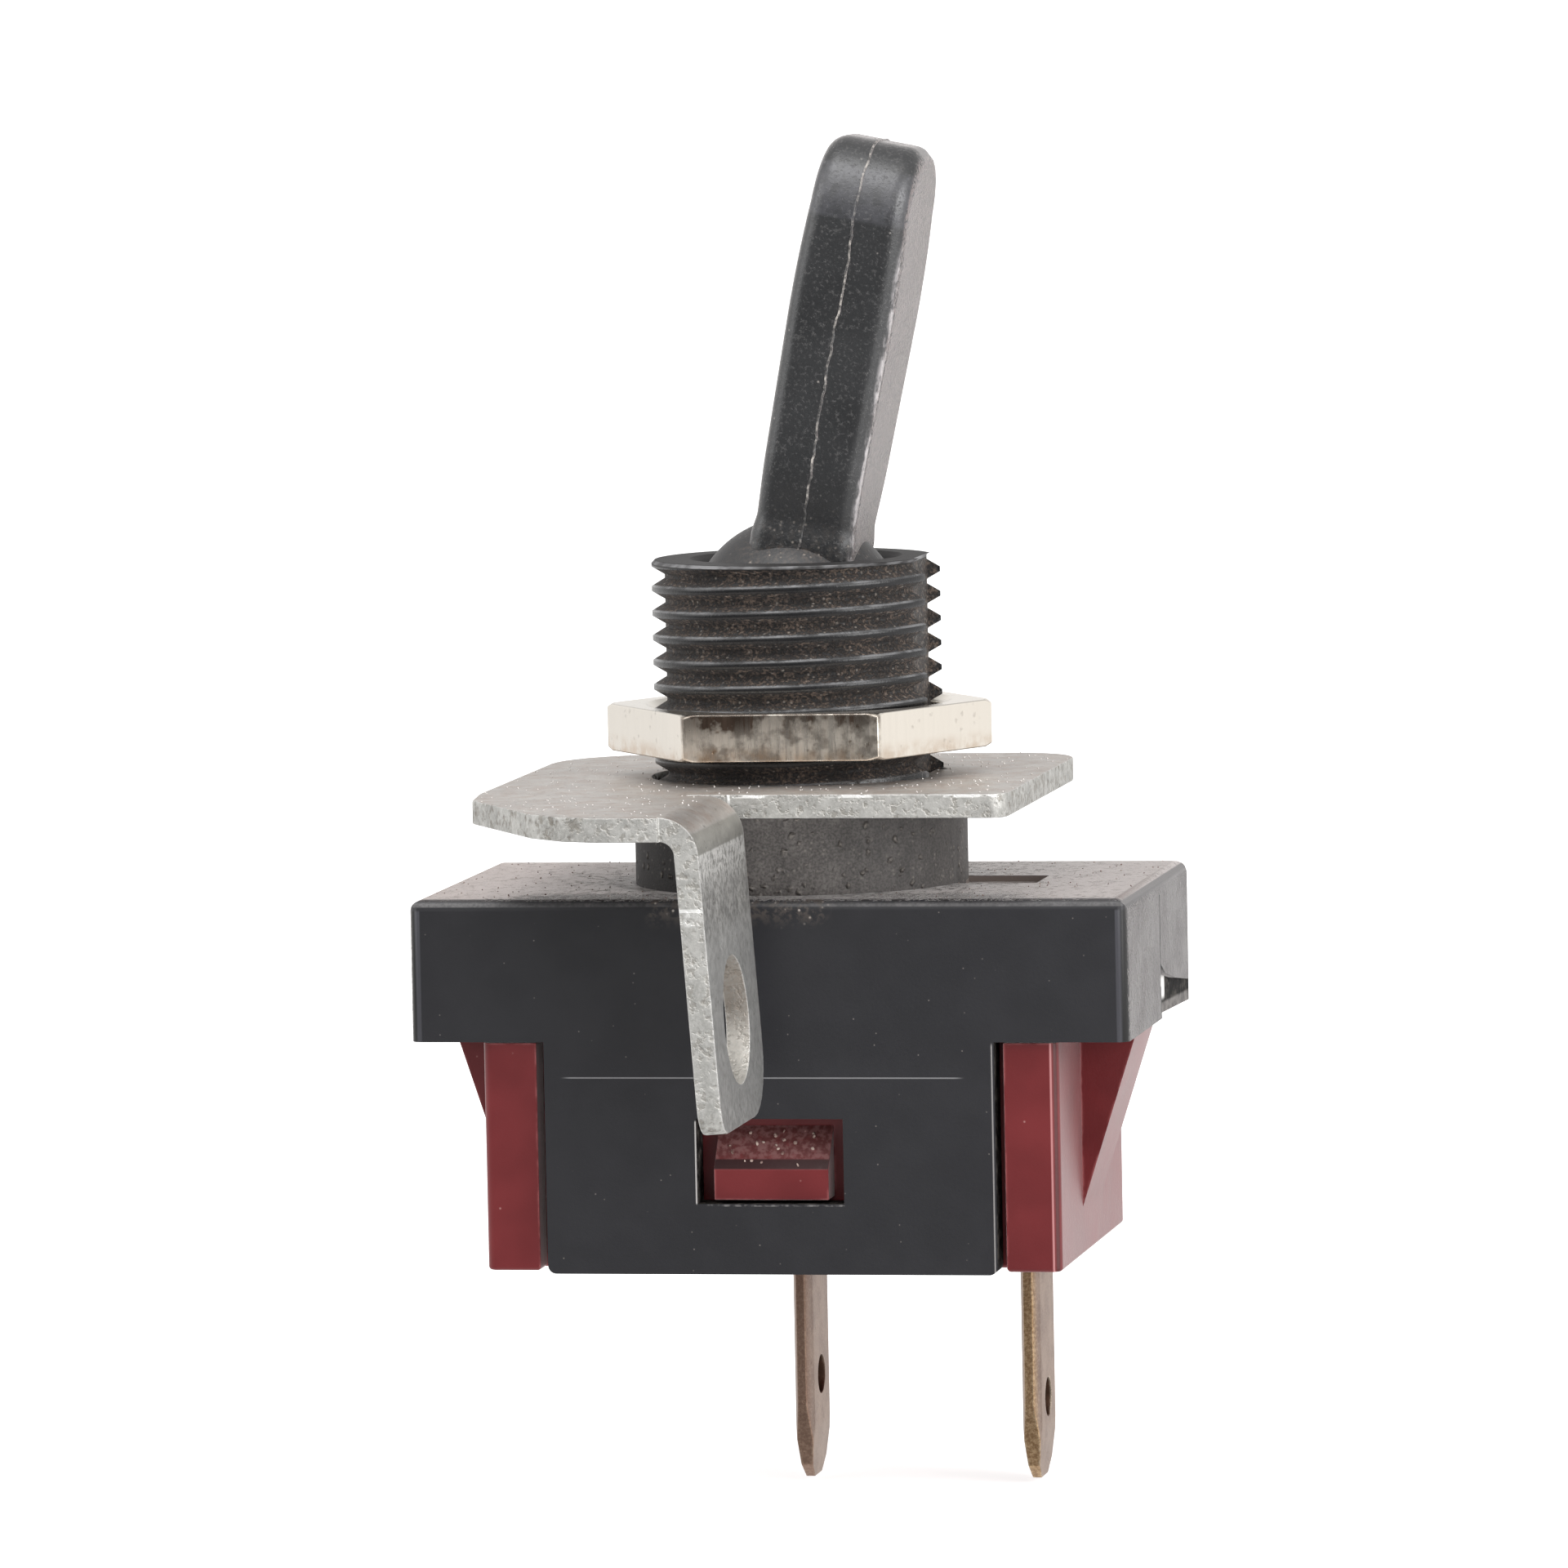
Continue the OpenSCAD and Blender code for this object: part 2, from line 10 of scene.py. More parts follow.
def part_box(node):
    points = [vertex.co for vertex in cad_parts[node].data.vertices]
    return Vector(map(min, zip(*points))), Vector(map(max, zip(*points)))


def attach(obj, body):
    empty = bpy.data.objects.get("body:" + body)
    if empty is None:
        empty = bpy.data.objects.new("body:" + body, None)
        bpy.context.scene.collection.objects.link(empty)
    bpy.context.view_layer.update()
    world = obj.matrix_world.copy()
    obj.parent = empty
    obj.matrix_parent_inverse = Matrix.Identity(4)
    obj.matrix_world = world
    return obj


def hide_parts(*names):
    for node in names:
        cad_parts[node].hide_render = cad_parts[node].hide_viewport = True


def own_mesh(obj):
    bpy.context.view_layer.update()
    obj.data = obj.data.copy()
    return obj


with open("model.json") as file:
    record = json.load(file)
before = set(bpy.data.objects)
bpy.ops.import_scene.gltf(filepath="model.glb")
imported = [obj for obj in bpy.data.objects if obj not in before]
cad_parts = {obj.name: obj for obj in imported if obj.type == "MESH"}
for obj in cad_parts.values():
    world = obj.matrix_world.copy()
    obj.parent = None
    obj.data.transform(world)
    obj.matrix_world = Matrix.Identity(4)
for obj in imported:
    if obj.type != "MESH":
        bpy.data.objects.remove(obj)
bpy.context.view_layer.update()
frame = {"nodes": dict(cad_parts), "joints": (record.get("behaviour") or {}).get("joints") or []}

# Looks of a panel-mount toggle switch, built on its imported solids.
# Sizes are in millimetres here and become metres where a mesh is made.
# -Y is the front, and the origin is on the bushing's axis at the neck's shoulder.
MM = 0.001


def corners_of(node):
    """Lowest and highest corner of a CAD node, in millimetres."""
    return [[round(c / MM, 3) for c in corner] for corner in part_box(node)]


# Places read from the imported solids
(_, FRONT_Y, _), (END_X, _, BUSH_TOP) = corners_of("housing_cover")
(_, LUG_FRONT, _), (_, _, PLATE_TOP) = corners_of("earth_plate")
(_, _, NUT_BOT), (_, _, NUT_TOP) = corners_of("hex_nut")
BASE_BOT = corners_of("base")[0][2]
SPADE_TIP_Z = corners_of("switched_terminal")[0][2]
PIVOT_Z = round(frame["joints"][0]["pos_m"][2] / MM, 3)

# Lever: its lean, the paddle's length, the ball, and the spring's two ends along the stem
LEVER_TILT = math.radians(11.4)
PADDLE_L = 20.4
BALL_R = 4.5
SPRING_SEAT = -8.2
WELL_TOP = -3.0

# Cover: bushing, neck, closed band, pocket beside the neck, flaps, their windows and the mould seam
BUSH_R = 6.0
NECK_R = 6.9
BAND_TOP = -3.45
BAND_BOT = -9.3
POCKET_X = 10.1
POCKET_HALF = 1.65
FLAP_X = 9.35
WINDOW_X = 3.05
WINDOW_TOP = -12.45
WINDOW_BOT = -15.95
SEAM_Y = 0.4

# Base: its side, its corner posts and the foot of its catch
BASE_X = 11.95
POST_X = 9.7
CATCH_FOOT = -14.5

# Nut and plate: half the nut's width and its turn, the plate's front edge, the lug's fold and lean
NUT_FLAT = 6.95
NUT_TURN = math.radians(4)
PLATE_FRONT = -10.1
FOLD_X = -2.0
FOLD_Z = -0.6
LUG_LEAN = math.radians(4)


# Small mesh tools

def new_object(name, mesh):
    ob = bpy.data.objects.new(name, mesh)
    bpy.context.scene.collection.objects.link(ob)
    return ob


def merged_copy(node, name):
    """A joined-up copy of a CAD node's mesh, flat areas as single faces, in a new object at the origin."""
    source = frame["nodes"][node].data
    source.calc_loop_triangles()
    co = np.array([v.co for v in source.vertices], float)
    _, first, back = np.unique(np.round(co, 7), axis=0, return_index=True, return_inverse=True)
    back = back.reshape(-1)
    faces = []
    for tri in source.loop_triangles:
        corners = [int(back[i]) for i in tri.vertices]
        if len(set(corners)) == 3:
            faces.append(corners)
    mesh = bpy.data.meshes.new(name)
    mesh.from_pydata([tuple(co[i]) for i in first], [], faces)
    bm = bmesh.new()
    bm.from_mesh(mesh)
    bmesh.ops.dissolve_limit(bm, angle_limit=math.radians(0.5), verts=bm.verts, edges=bm.edges)
    bm.to_mesh(mesh)
    bm.free()
    return new_object(name, mesh)


def settle_mesh(ob):
    """Turns the object's modifiers into its plain mesh."""
    graph = bpy.context.evaluated_depsgraph_get()
    mesh = bpy.data.meshes.new_from_object(ob.evaluated_get(graph), depsgraph=graph)
    ob.modifiers.clear()
    ob.data = mesh
    return ob


def soften(ob, width, segments=2, angle=35):
    """Rounds the sharp edges by width, in millimetres."""
    bevel = ob.modifiers.new("round_edges", "BEVEL")
    bevel.width = width * MM
    bevel.segments = segments
    bevel.limit_method = "ANGLE"
    bevel.angle_limit = math.radians(angle)
    bevel.use_clamp_overlap = True
    bevel.miter_outer = "MITER_ARC"
    return settle_mesh(ob)


def shade(ob, angle=40):
    """Smooth shading that leaves flat faces flat."""
    mesh = ob.data
    mesh.polygons.foreach_set("use_smooth", [True] * len(mesh.polygons))
    mesh.set_sharp_from_angle(angle=math.radians(angle))
    weighted = ob.modifiers.new("flat_faces_first", "WEIGHTED_NORMAL")
    weighted.mode = "FACE_AREA"
    weighted.weight = 80
    weighted.keep_sharp = True
    return settle_mesh(ob)


def join_solids(ob, *others):
    """Boolean union of closed shells into ob."""
    for other in others:
        union = ob.modifiers.new("union", "BOOLEAN")
        union.operation = "UNION"
        union.solver = "MANIFOLD"
        union.object = other
        settle_mesh(ob)
        bpy.data.objects.remove(other)
    return ob


def wear(ob, *materials):
    ob.data.materials.clear()
    for material in materials:
        ob.data.materials.append(material)


# Node helpers

class Net:
    """Adds nodes to one tree. An input is a plain value or another node's output."""

    def __init__(self, tree):
        self.tree = tree

    def node(self, kind, inputs=None, **settings):
        node = self.tree.nodes.new(kind)
        for key, value in settings.items():
            setattr(node, key, value)
        for key, value in (inputs or {}).items():
            self.feed(node.inputs[key], value)
        return node

    def feed(self, socket, value):
        if isinstance(value, bpy.types.NodeSocket):
            self.tree.links.new(value, socket)
        else:
            socket.default_value = value

    def math(self, operation, a, b=None, c=None, clamp=False):
        inputs = {i: v for i, v in enumerate((a, b, c)) if v is not None}
        return self.node("ShaderNodeMath", inputs, operation=operation, use_clamp=clamp).outputs[0]

    def mix(self, factor, a, b):
        return self.node("ShaderNodeMix", {0: factor, 6: a, 7: b}, data_type="RGBA").outputs[2]

    def blend(self, factor, a, b):
        return self.node("ShaderNodeMix", {0: factor, 2: a, 3: b}).outputs[0]

    def ramp(self, value, low, high, to_low=0.0, to_high=1.0):
        names = ("Value", "From Min", "From Max", "To Min", "To Max")
        inputs = dict(zip(names, (value, low, high, to_low, to_high)))
        return self.node("ShaderNodeMapRange", inputs, interpolation_type="SMOOTHSTEP").outputs[0]

    def noise(self, vector, size, detail=3.0, rough=0.55):
        inputs = {"Vector": vector, "Scale": 1.0 / size, "Detail": detail, "Roughness": rough}
        return self.node("ShaderNodeTexNoise", inputs).outputs["Fac"]

    def stretched(self, vector, scale):
        return self.node("ShaderNodeVectorMath", {0: vector, 1: scale}, operation="MULTIPLY").outputs[0]

    def split(self, vector):
        return self.node("ShaderNodeSeparateXYZ", {0: vector}).outputs


def shader_group(name, inputs, outputs, build):
    """A shared effect. build gets the net and the group's input sockets, and returns its outputs by name."""
    tree = bpy.data.node_groups.new(name, "ShaderNodeTree")
    for label, kind, value in inputs:
        socket = tree.interface.new_socket(label, in_out="INPUT", socket_type=kind)
        if value is not None:
            socket.default_value = value
    for label, kind in outputs:
        tree.interface.new_socket(label, in_out="OUTPUT", socket_type=kind)
    net = Net(tree)
    entry = net.node("NodeGroupInput").outputs
    way_out = net.node("NodeGroupOutput")
    for label, socket in build(net, entry).items():
        tree.links.new(socket, way_out.inputs[label])
    return tree


FLOAT = "NodeSocketFloat"
VECTOR = "NodeSocketVector"
WHOLE = "NodeSocketInt"


# Shared surface effects. Their Place input is in millimetres.

def build_specks(net, given):
    cell = net.node("ShaderNodeTexVoronoi", {"Vector": given["Place"], "Scale": given["Fineness"]})
    spot = net.ramp(cell.outputs["Distance"], given["Spot"], 0.0)
    lot = net.split(cell.outputs["Color"])[0]
    chosen = net.ramp(lot, given["Rarity"], net.math("ADD", given["Rarity"], 0.04))
    return {"Mask": net.math("MULTIPLY", spot, chosen)}


specks_group = shader_group(
    "specks",
    [("Place", VECTOR, None), ("Fineness", FLOAT, 3.0), ("Spot", FLOAT, 0.3), ("Rarity", FLOAT, 0.8)],
    [("Mask", FLOAT)], build_specks)


def build_settled_dust(net, given):
    up = net.split(net.node("ShaderNodeNewGeometry").outputs["Normal"])[2]
    lies = net.blend(given["Tops only"], 1.0, net.ramp(up, 0.2, 0.85))
    clumps = net.node("ShaderNodeTexNoise", {
        "Vector": given["Place"], "Scale": given["Fineness"], "Detail": 5.0, "Roughness": 0.7}).outputs["Fac"]
    cover = net.math("SUBTRACT", 1.0, given["Amount"])
    patch = net.ramp(clumps, net.math("SUBTRACT", cover, 0.12), net.math("ADD", cover, 0.2))
    return {"Mask": net.math("MULTIPLY", lies, patch, clamp=True)}


dust_group = shader_group(
    "settled_dust",
    [("Place", VECTOR, None), ("Fineness", FLOAT, 2.0), ("Amount", FLOAT, 0.5), ("Tops only", FLOAT, 1.0)],
    [("Mask", FLOAT)], build_settled_dust)


def build_edge_rub(net, given):
    rounded = net.node("ShaderNodeBevel", {"Radius": given["Reach"]}, samples=6).outputs[0]
    flat = net.node("ShaderNodeNewGeometry").outputs["Normal"]
    turn = net.node("ShaderNodeVectorMath", {0: rounded, 1: flat}, operation="DOT_PRODUCT").outputs["Value"]
    edge = net.ramp(net.math("SUBTRACT", 1.0, turn), 0.02, 0.22)
    broken = net.node("ShaderNodeTexNoise", {
        "Vector": given["Place"], "Scale": given["Fineness"], "Detail": 4.0}).outputs["Fac"]
    worn = net.ramp(broken, 0.38, 0.62)
    return {"Mask": net.math("MULTIPLY", edge, worn), "Edge": edge}


rub_group = shader_group(
    "edge_rub",
    [("Place", VECTOR, None), ("Reach", FLOAT, 0.00015), ("Fineness", FLOAT, 1.0)],
    [("Mask", FLOAT), ("Edge", FLOAT)], build_edge_rub)


def build_pits(net, given):
    bent = net.node("ShaderNodeTexNoise", {
        "Vector": given["Place"], "Scale": net.math("MULTIPLY", given["Fineness"], 1.4), "Detail": 2.0})
    moved = net.node("ShaderNodeVectorMath", {
        0: bent.outputs["Color"], 1: (0.35, 0.35, 0.35), 2: given["Place"]},
        operation="MULTIPLY_ADD").outputs[0]
    cell = net.node("ShaderNodeTexVoronoi", {"Vector": moved, "Scale": given["Fineness"]})
    hole = net.ramp(cell.outputs["Distance"], given["Width"], 0.02)
    lot = net.split(cell.outputs["Color"])[1]
    chosen = net.ramp(lot, given["Rarity"], net.math("ADD", given["Rarity"], 0.2))
    return {"Mask": net.math("MULTIPLY", hole, chosen)}


pits_group = shader_group(
    "pits",
    [("Place", VECTOR, None), ("Fineness", FLOAT, 2.0), ("Width", FLOAT, 0.4), ("Rarity", FLOAT, 0.4)],
    [("Mask", FLOAT)], build_pits)


def build_grain(net, given):
    fine = net.node("ShaderNodeTexNoise", {
        "Vector": given["Place"], "Scale": given["Fineness"], "Detail": 4.0,
        "Roughness": 0.65}).outputs["Fac"]
    slow = net.math("MULTIPLY", given["Fineness"], 0.06)
    broad = net.node("ShaderNodeTexNoise", {
        "Vector": given["Place"], "Scale": slow, "Detail": 2.0}).outputs["Fac"]
    return {"Height": net.math("MULTIPLY_ADD", broad, given["Waviness"], fine), "Tone": broad}


grain_group = shader_group(
    "moulded_grain",
    [("Place", VECTOR, None), ("Fineness", FLOAT, 8.0), ("Waviness", FLOAT, 2.0)],
    [("Height", FLOAT), ("Tone", FLOAT)], build_grain)


def build_streaks(net, given):
    drawn = net.stretched(given["Place"], (1.0, 1.0, 0.07))
    lines = net.node("ShaderNodeTexNoise", {
        "Vector": drawn, "Scale": given["Fineness"], "Detail": 4.0, "Roughness": 0.7}).outputs["Fac"]
    return {"Mask": net.ramp(lines, 0.4, 0.66)}


streaks_group = shader_group(
    "drawn_streaks", [("Place", VECTOR, None), ("Fineness", FLOAT, 4.0)], [("Mask", FLOAT)], build_streaks)


# Materials

class Finish(Net):
    """A material with one Principled shader, its place in millimetres and the shared effects at hand."""

    def __init__(self, name, **constants):
        self.material = bpy.data.materials.new(name)
        self.material.use_nodes = True
        super().__init__(self.material.node_tree)
        self.tree.nodes.clear()
        self.shader = self.node("ShaderNodeBsdfPrincipled")
        out = self.node("ShaderNodeOutputMaterial")
        self.tree.links.new(self.shader.outputs[0], out.inputs[0])
        for key, value in constants.items():
            self.shader.inputs[key.replace("_", " ")].default_value = value
        coords = self.node("ShaderNodeTexCoord").outputs["Object"]
        self.place = self.node("ShaderNodeVectorMath", {0: coords, 3: 1.0 / MM}, operation="SCALE").outputs[0]

    def effect(self, group, **values):
        node = self.node("ShaderNodeGroup", node_tree=group)
        self.tree.links.new(self.place, node.inputs["Place"])
        for key, value in values.items():
            self.feed(node.inputs[key.replace("_", " ")], value)
        return node.outputs

    def up(self):
        return self.split(self.node("ShaderNodeNewGeometry").outputs["Normal"])[2]

    def radius(self):
        x, y, _ = self.split(self.place)
        return self.math("SQRT", self.math("ADD", self.math("MULTIPLY", x, x), self.math("MULTIPLY", y, y)))

    def band(self, value, low, high, soft):
        """1 between low and high, 0 outside, soft at both ends."""
        rise = self.ramp(value, low - soft, low)
        fall = self.ramp(value, high, high + soft, 1.0, 0.0)
        return self.math("MULTIPLY", rise, fall)

    def product(self, *values):
        result = values[0]
        for value in values[1:]:
            result = self.math("MULTIPLY", result, value)
        return result

    def lay(self, tint, *amounts):
        """Lays a tint over the colour so far, as strongly as the product of the amounts."""
        self.colour = self.mix(self.product(*amounts), self.colour, tint)

    def finish(self, roughness, heights):
        """Heights are (socket, depth in millimetres) pairs."""
        self.feed(self.shader.inputs["Base Color"], self.colour)
        self.feed(self.shader.inputs["Roughness"], roughness)
        normal = None
        for height, depth in heights:
            bump = self.node("ShaderNodeBump", {"Height": height, "Strength": 1.0, "Distance": depth * MM})
            if normal is not None:
                self.tree.links.new(normal, bump.inputs["Normal"])
            normal = bump.outputs[0]
        self.tree.links.new(normal, self.shader.inputs["Normal"])
        return self.material


def rgb(r, g, b):
    """A colour from its 0-255 picture values."""
    def line(v):
        v /= 255.0
        return v / 12.92 if v <= 0.04045 else ((v + 0.055) / 1.055) ** 2.4
    return (line(r), line(g), line(b), 1.0)


def cover_plastic():
    """Black of the cover's box and flaps, dusty on top, scuffed at the ends and rubbed along its edges, with
    painted highlights and painted dark lines on some edges and corners and painted shade before the neck.
    """
    f = Finish("cover_plastic", IOR=1.5, Sheen_Weight=0.6, Sheen_Roughness=0.25,
               Sheen_Tint=(1.0, 0.95, 0.93, 1))
    x, y, z = f.split(f.place)
    r = f.radius()
    aside = f.math("ABSOLUTE", x)
    grain = f.effect(grain_group, Fineness=9.0, Waviness=0.4)
    f.colour = f.mix(f.ramp(grain["Tone"], 0.3, 0.7), rgb(32, 32, 36), rgb(35, 35, 39))
    # Pinkish dust on the top face, thin near the neck and the front edge, and in the pocket; the strip before
    # the neck is also kept dark as painted shade
    top = f.product(f.band(z, BAND_TOP - 0.5, BAND_TOP + 0.1, 0.15), f.ramp(f.up(), 0.75, 0.97))
    lid = f.effect(dust_group, Fineness=1.6, Amount=0.74, Tops_only=0.0)["Mask"]
    # Strip before the neck: thinner dust and painted shade
    neck_front_dust_gap_and_shade = f.product(f.ramp(y, FRONT_Y + 3.5, FRONT_Y + 1.5),
                            f.ramp(aside, NECK_R + 5.1, NECK_R + 1.6))
    thin = f.product(f.ramp(r, NECK_R + 0.4, NECK_R + 1.9, 0.35, 1.0),
                     f.ramp(y, FRONT_Y + 0.3, FRONT_Y + 0.7, 0.1, 1.0),
                     f.ramp(x, 2.0, 8.0, 1.0, 0.5), f.ramp(neck_front_dust_gap_and_shade, 0.0, 1.0, 1.0, 0.25))
    f.lay(rgb(176, 162, 157), lid, top, thin, 0.85)
    gaps = f.noise(f.place, 0.3, 4.0, 0.7)
    bare = f.ramp(f.math("MULTIPLY_ADD", neck_front_dust_gap_and_shade, 0.12, gaps), 0.54, 0.68)
    near_neck = f.math("MAXIMUM", f.ramp(r, NECK_R + 4.1, NECK_R + 1.1),
                       f.ramp(y, FRONT_Y + 2.5, FRONT_Y + 0.5))
    bald = f.product(top, bare, f.ramp(near_neck, 0.0, 1.0, 0.45, 1.0))
    f.lay(rgb(40, 37, 36), bald, 0.8)
    pocket = f.product(f.band(z, BAND_TOP - 0.3, BAND_TOP - 0.02, 0.02),
                       f.band(x, BUSH_R, POCKET_X + 0.2, 0.1),
                       f.ramp(f.math("ABSOLUTE", y), POCKET_HALF + 0.35, POCKET_HALF + 0.15))
    f.lay(rgb(116, 104, 98), pocket, 0.9)
    # Pale scuffs on the two flat ends, most beside the front edge, and a painted highlight line and a painted
    # dark reflection line down the rounded front corner
    end = f.ramp(aside, END_X - 0.07, END_X - 0.02)
    scuff = f.ramp(f.noise(f.place, 0.2, 3.0, 0.7), 0.5, 0.64)
    near_front = f.ramp(y, SEAM_Y + 0.6, FRONT_Y + 1.0, 0.2, 1.0)
    smudge = f.ramp(f.noise(f.stretched(f.place, (1.0, 0.35, 0.35)), 0.8, 3.0), 0.4, 0.7)
    f.lay(rgb(124, 118, 115), end, scuff, near_front, 0.32)
    corner = f.product(f.ramp(y, FRONT_Y + 0.6, FRONT_Y + 0.4), f.band(z, BAND_BOT, BAND_TOP - 0.5, 0.1))
    # Painted highlight and painted dark reflection down the rounded corner
    painted_highlight_line = f.product(corner, f.band(aside, END_X - 0.45, END_X - 0.3, 0.04), 0.8)
    f.lay(rgb(62, 62, 68), painted_highlight_line)
    painted_dark_line = f.product(corner, f.band(aside, END_X - 0.22, END_X - 0.05, 0.03))
    f.lay(rgb(3, 3, 4), painted_dark_line)
    # Painted highlight lines on the window's left edge and the flap's right edge, broken along the sill
    front = f.ramp(y, FRONT_Y + 0.2, FRONT_Y + 0.1)
    left_edge = f.product(f.band(x, -WINDOW_X - 0.06, -WINDOW_X - 0.01, 0.015),
                          f.band(z, WINDOW_BOT + 0.05, WINDOW_TOP - 0.15, 0.1), 0.6)
    broken = f.ramp(f.noise(f.place, 0.5), 0.45, 0.6, 0.0, 0.2)
    right_edge = f.product(f.band(x, FLAP_X - 0.12, FLAP_X - 0.08, 0.02),
                           f.ramp(z, BAND_BOT, BAND_BOT - 0.2), 0.35)
    sill = f.product(f.band(z, WINDOW_BOT - 0.09, WINDOW_BOT - 0.03, 0.02),
                     f.band(x, 0.45 - WINDOW_X, WINDOW_X - 0.05, 0.1), broken)
    lines = f.math("ADD", f.math("ADD", left_edge, right_edge), sill, clamp=True)
    f.lay(rgb(196, 192, 190), front, lines)
    # Front's upper edge painted pale, partly rubbed wear and partly a painted highlight, most at the left
    edge_wear_and_highlight = f.ramp(f.noise(f.place, 0.9, 4.0, 0.6), 0.42, 0.6, 0.5, 0.8)
    edge_wear_and_highlight = f.math("MAXIMUM", edge_wear_and_highlight, f.ramp(x, 4.3 - END_X, 3.3 - END_X))
    edge_grain = f.ramp(f.noise(f.place, 0.15, 3.0, 0.7), 0.35, 0.6, 0.5, 1.0)
    upper = f.product(f.band(z, BAND_TOP - 0.28, BAND_TOP - 0.09, 0.03), front)
    f.lay(rgb(112, 110, 110), upper, edge_wear_and_highlight, edge_grain, 0.55)
    # Gritty dirt on both sides of the plate's lug
    lug_left, lug_right = -3.4, -0.4
    beside_lug = f.math("MAXIMUM", f.band(x, lug_left - 1.3, lug_left, 0.4),
                        f.band(x, lug_right, lug_right + 2.6, 0.7))
    by_lug = f.product(beside_lug, f.ramp(z, BAND_TOP - 1.3, BAND_TOP - 0.4),
                       f.ramp(y, FRONT_Y + 1.3, FRONT_Y + 0.3))
    smear = f.ramp(f.noise(f.place, 0.3, 4.0, 0.7), 0.45, 0.6)
    f.lay(rgb(76, 69, 64), by_lug, smear, 0.7)
    grit = f.effect(specks_group, Fineness=4.2, Spot=0.34, Rarity=0.72)["Mask"]
    f.lay(rgb(184, 175, 166), by_lug, grit, 0.8)
    # Fine light specks everywhere
    fine = f.effect(specks_group, Fineness=2.2, Spot=0.1, Rarity=0.66)["Mask"]
    f.lay(rgb(150, 142, 136), fine, 0.55)
    # Witness line of the mould across the front flap
    witness_z = -10.765
    line = f.product(f.band(z, witness_z - 0.02, witness_z + 0.02, 0.015),
                     f.band(x, 1.15 - FLAP_X, FLAP_X - 1.7, 0.5), front)
    f.lay(rgb(150, 150, 152), line, 0.5)
    rough = f.math("ADD", f.product(grain["Height"], 0.06), 0.4)
    rough = f.math("ADD", rough, f.product(end, smudge, 0.2))
    heights = [(grain["Height"], 0.006), (f.product(end, scuff, near_front), 0.06), (bald, -0.06)]
    return f.finish(rough, heights)


def thread_plastic():
    """The cover's black on its bushing and neck, dull with packed dirt, with painted highlights on the crests
    and rim and painted shade on the neck's sides.
    """
    f = Finish("thread_plastic", IOR=1.5, Specular_IOR_Level=0.45)
    x, _, z = f.split(f.place)
    r = f.radius()
    fine = f.noise(f.place, 0.1, 3.0, 0.6)
    f.colour = f.mix(f.ramp(fine, 0.35, 0.65), rgb(24, 23, 24), rgb(36, 34, 34))
    # Grey-brown dirt on the neck, with lumps, laid thinner on its sides as painted shade
    neck = f.product(f.ramp(z, 0.0, -0.1), f.ramp(r, NECK_R + 0.9, NECK_R + 0.4))
    lit_side = f.product(f.ramp(x, -4.6, -1.0, 0.15, 1.0), f.ramp(x, 1.5, 6.0, 1.0, 0.6))
    streaky = f.ramp(f.noise(f.stretched(f.place, (1.0, 1.0, 0.5)), 1.2, 5.0, 0.7), 0.3, 0.7, 0.55, 1.0)
    dusty = f.ramp(fine, 0.36, 0.64, 0.55, 1.0)
    f.lay(rgb(118, 113, 110), neck, streaky, lit_side, dusty)
    lumps = f.product(neck, f.effect(pits_group, Fineness=2.0, Width=0.34, Rarity=0.4)["Mask"])
    f.lay(rgb(156, 149, 142), lumps, 0.8)
    # Brown grit between the threads, shiny dark crests with a painted highlight on their upper edges and
    # round the rim
    threaded = f.band(z, 0.1, BUSH_TOP - 0.25, 0.1)
    root = f.product(f.ramp(r, BUSH_R, BUSH_R - 0.15), threaded, f.ramp(r, BUSH_R - 1.1, BUSH_R - 0.8))
    packed = f.ramp(f.noise(f.place, 0.16, 4.0, 0.7), 0.44, 0.62)
    patchy = f.ramp(f.noise(f.place, 1.5, 3.0), 0.35, 0.6, 0.35, 1.0)
    f.lay(rgb(104, 90, 80), root, packed, patchy, 0.9)
    grit = f.effect(specks_group, Fineness=4.2, Spot=0.36, Rarity=0.6)["Mask"]
    gritty = f.math("ADD", root, f.product(neck, 0.5), clamp=True)
    f.lay(rgb(172, 163, 154), gritty, grit, 0.6)
    crest = f.product(f.ramp(r, BUSH_R - 0.14, BUSH_R - 0.08), threaded)
    f.lay(rgb(20, 20, 22), crest)
    # Painted highlight along the crests' upper edges and round the bushing's rim
    patches = f.ramp(f.noise(f.place, 1.4, 4.0, 0.6), 0.4, 0.62, 0.12, 0.6)
    lit_edge = f.product(crest, f.ramp(f.up(), 0.3, 0.6), patches)
    rim_highlight = f.product(f.band(z, BUSH_TOP - 0.14, BUSH_TOP - 0.03, 0.02),
                    f.ramp(r, BUSH_R - 1.0, BUSH_R - 0.8), patches)
    f.lay(rgb(150, 150, 152), f.math("ADD", lit_edge, rim_highlight, clamp=True))
    rough = f.math("SUBTRACT", f.math("MULTIPLY_ADD", fine, 0.2, 0.5), f.product(crest, 0.35))
    return f.finish(rough, [(fine, 0.012), (lumps, 0.2), (f.product(root, packed), 0.04)])


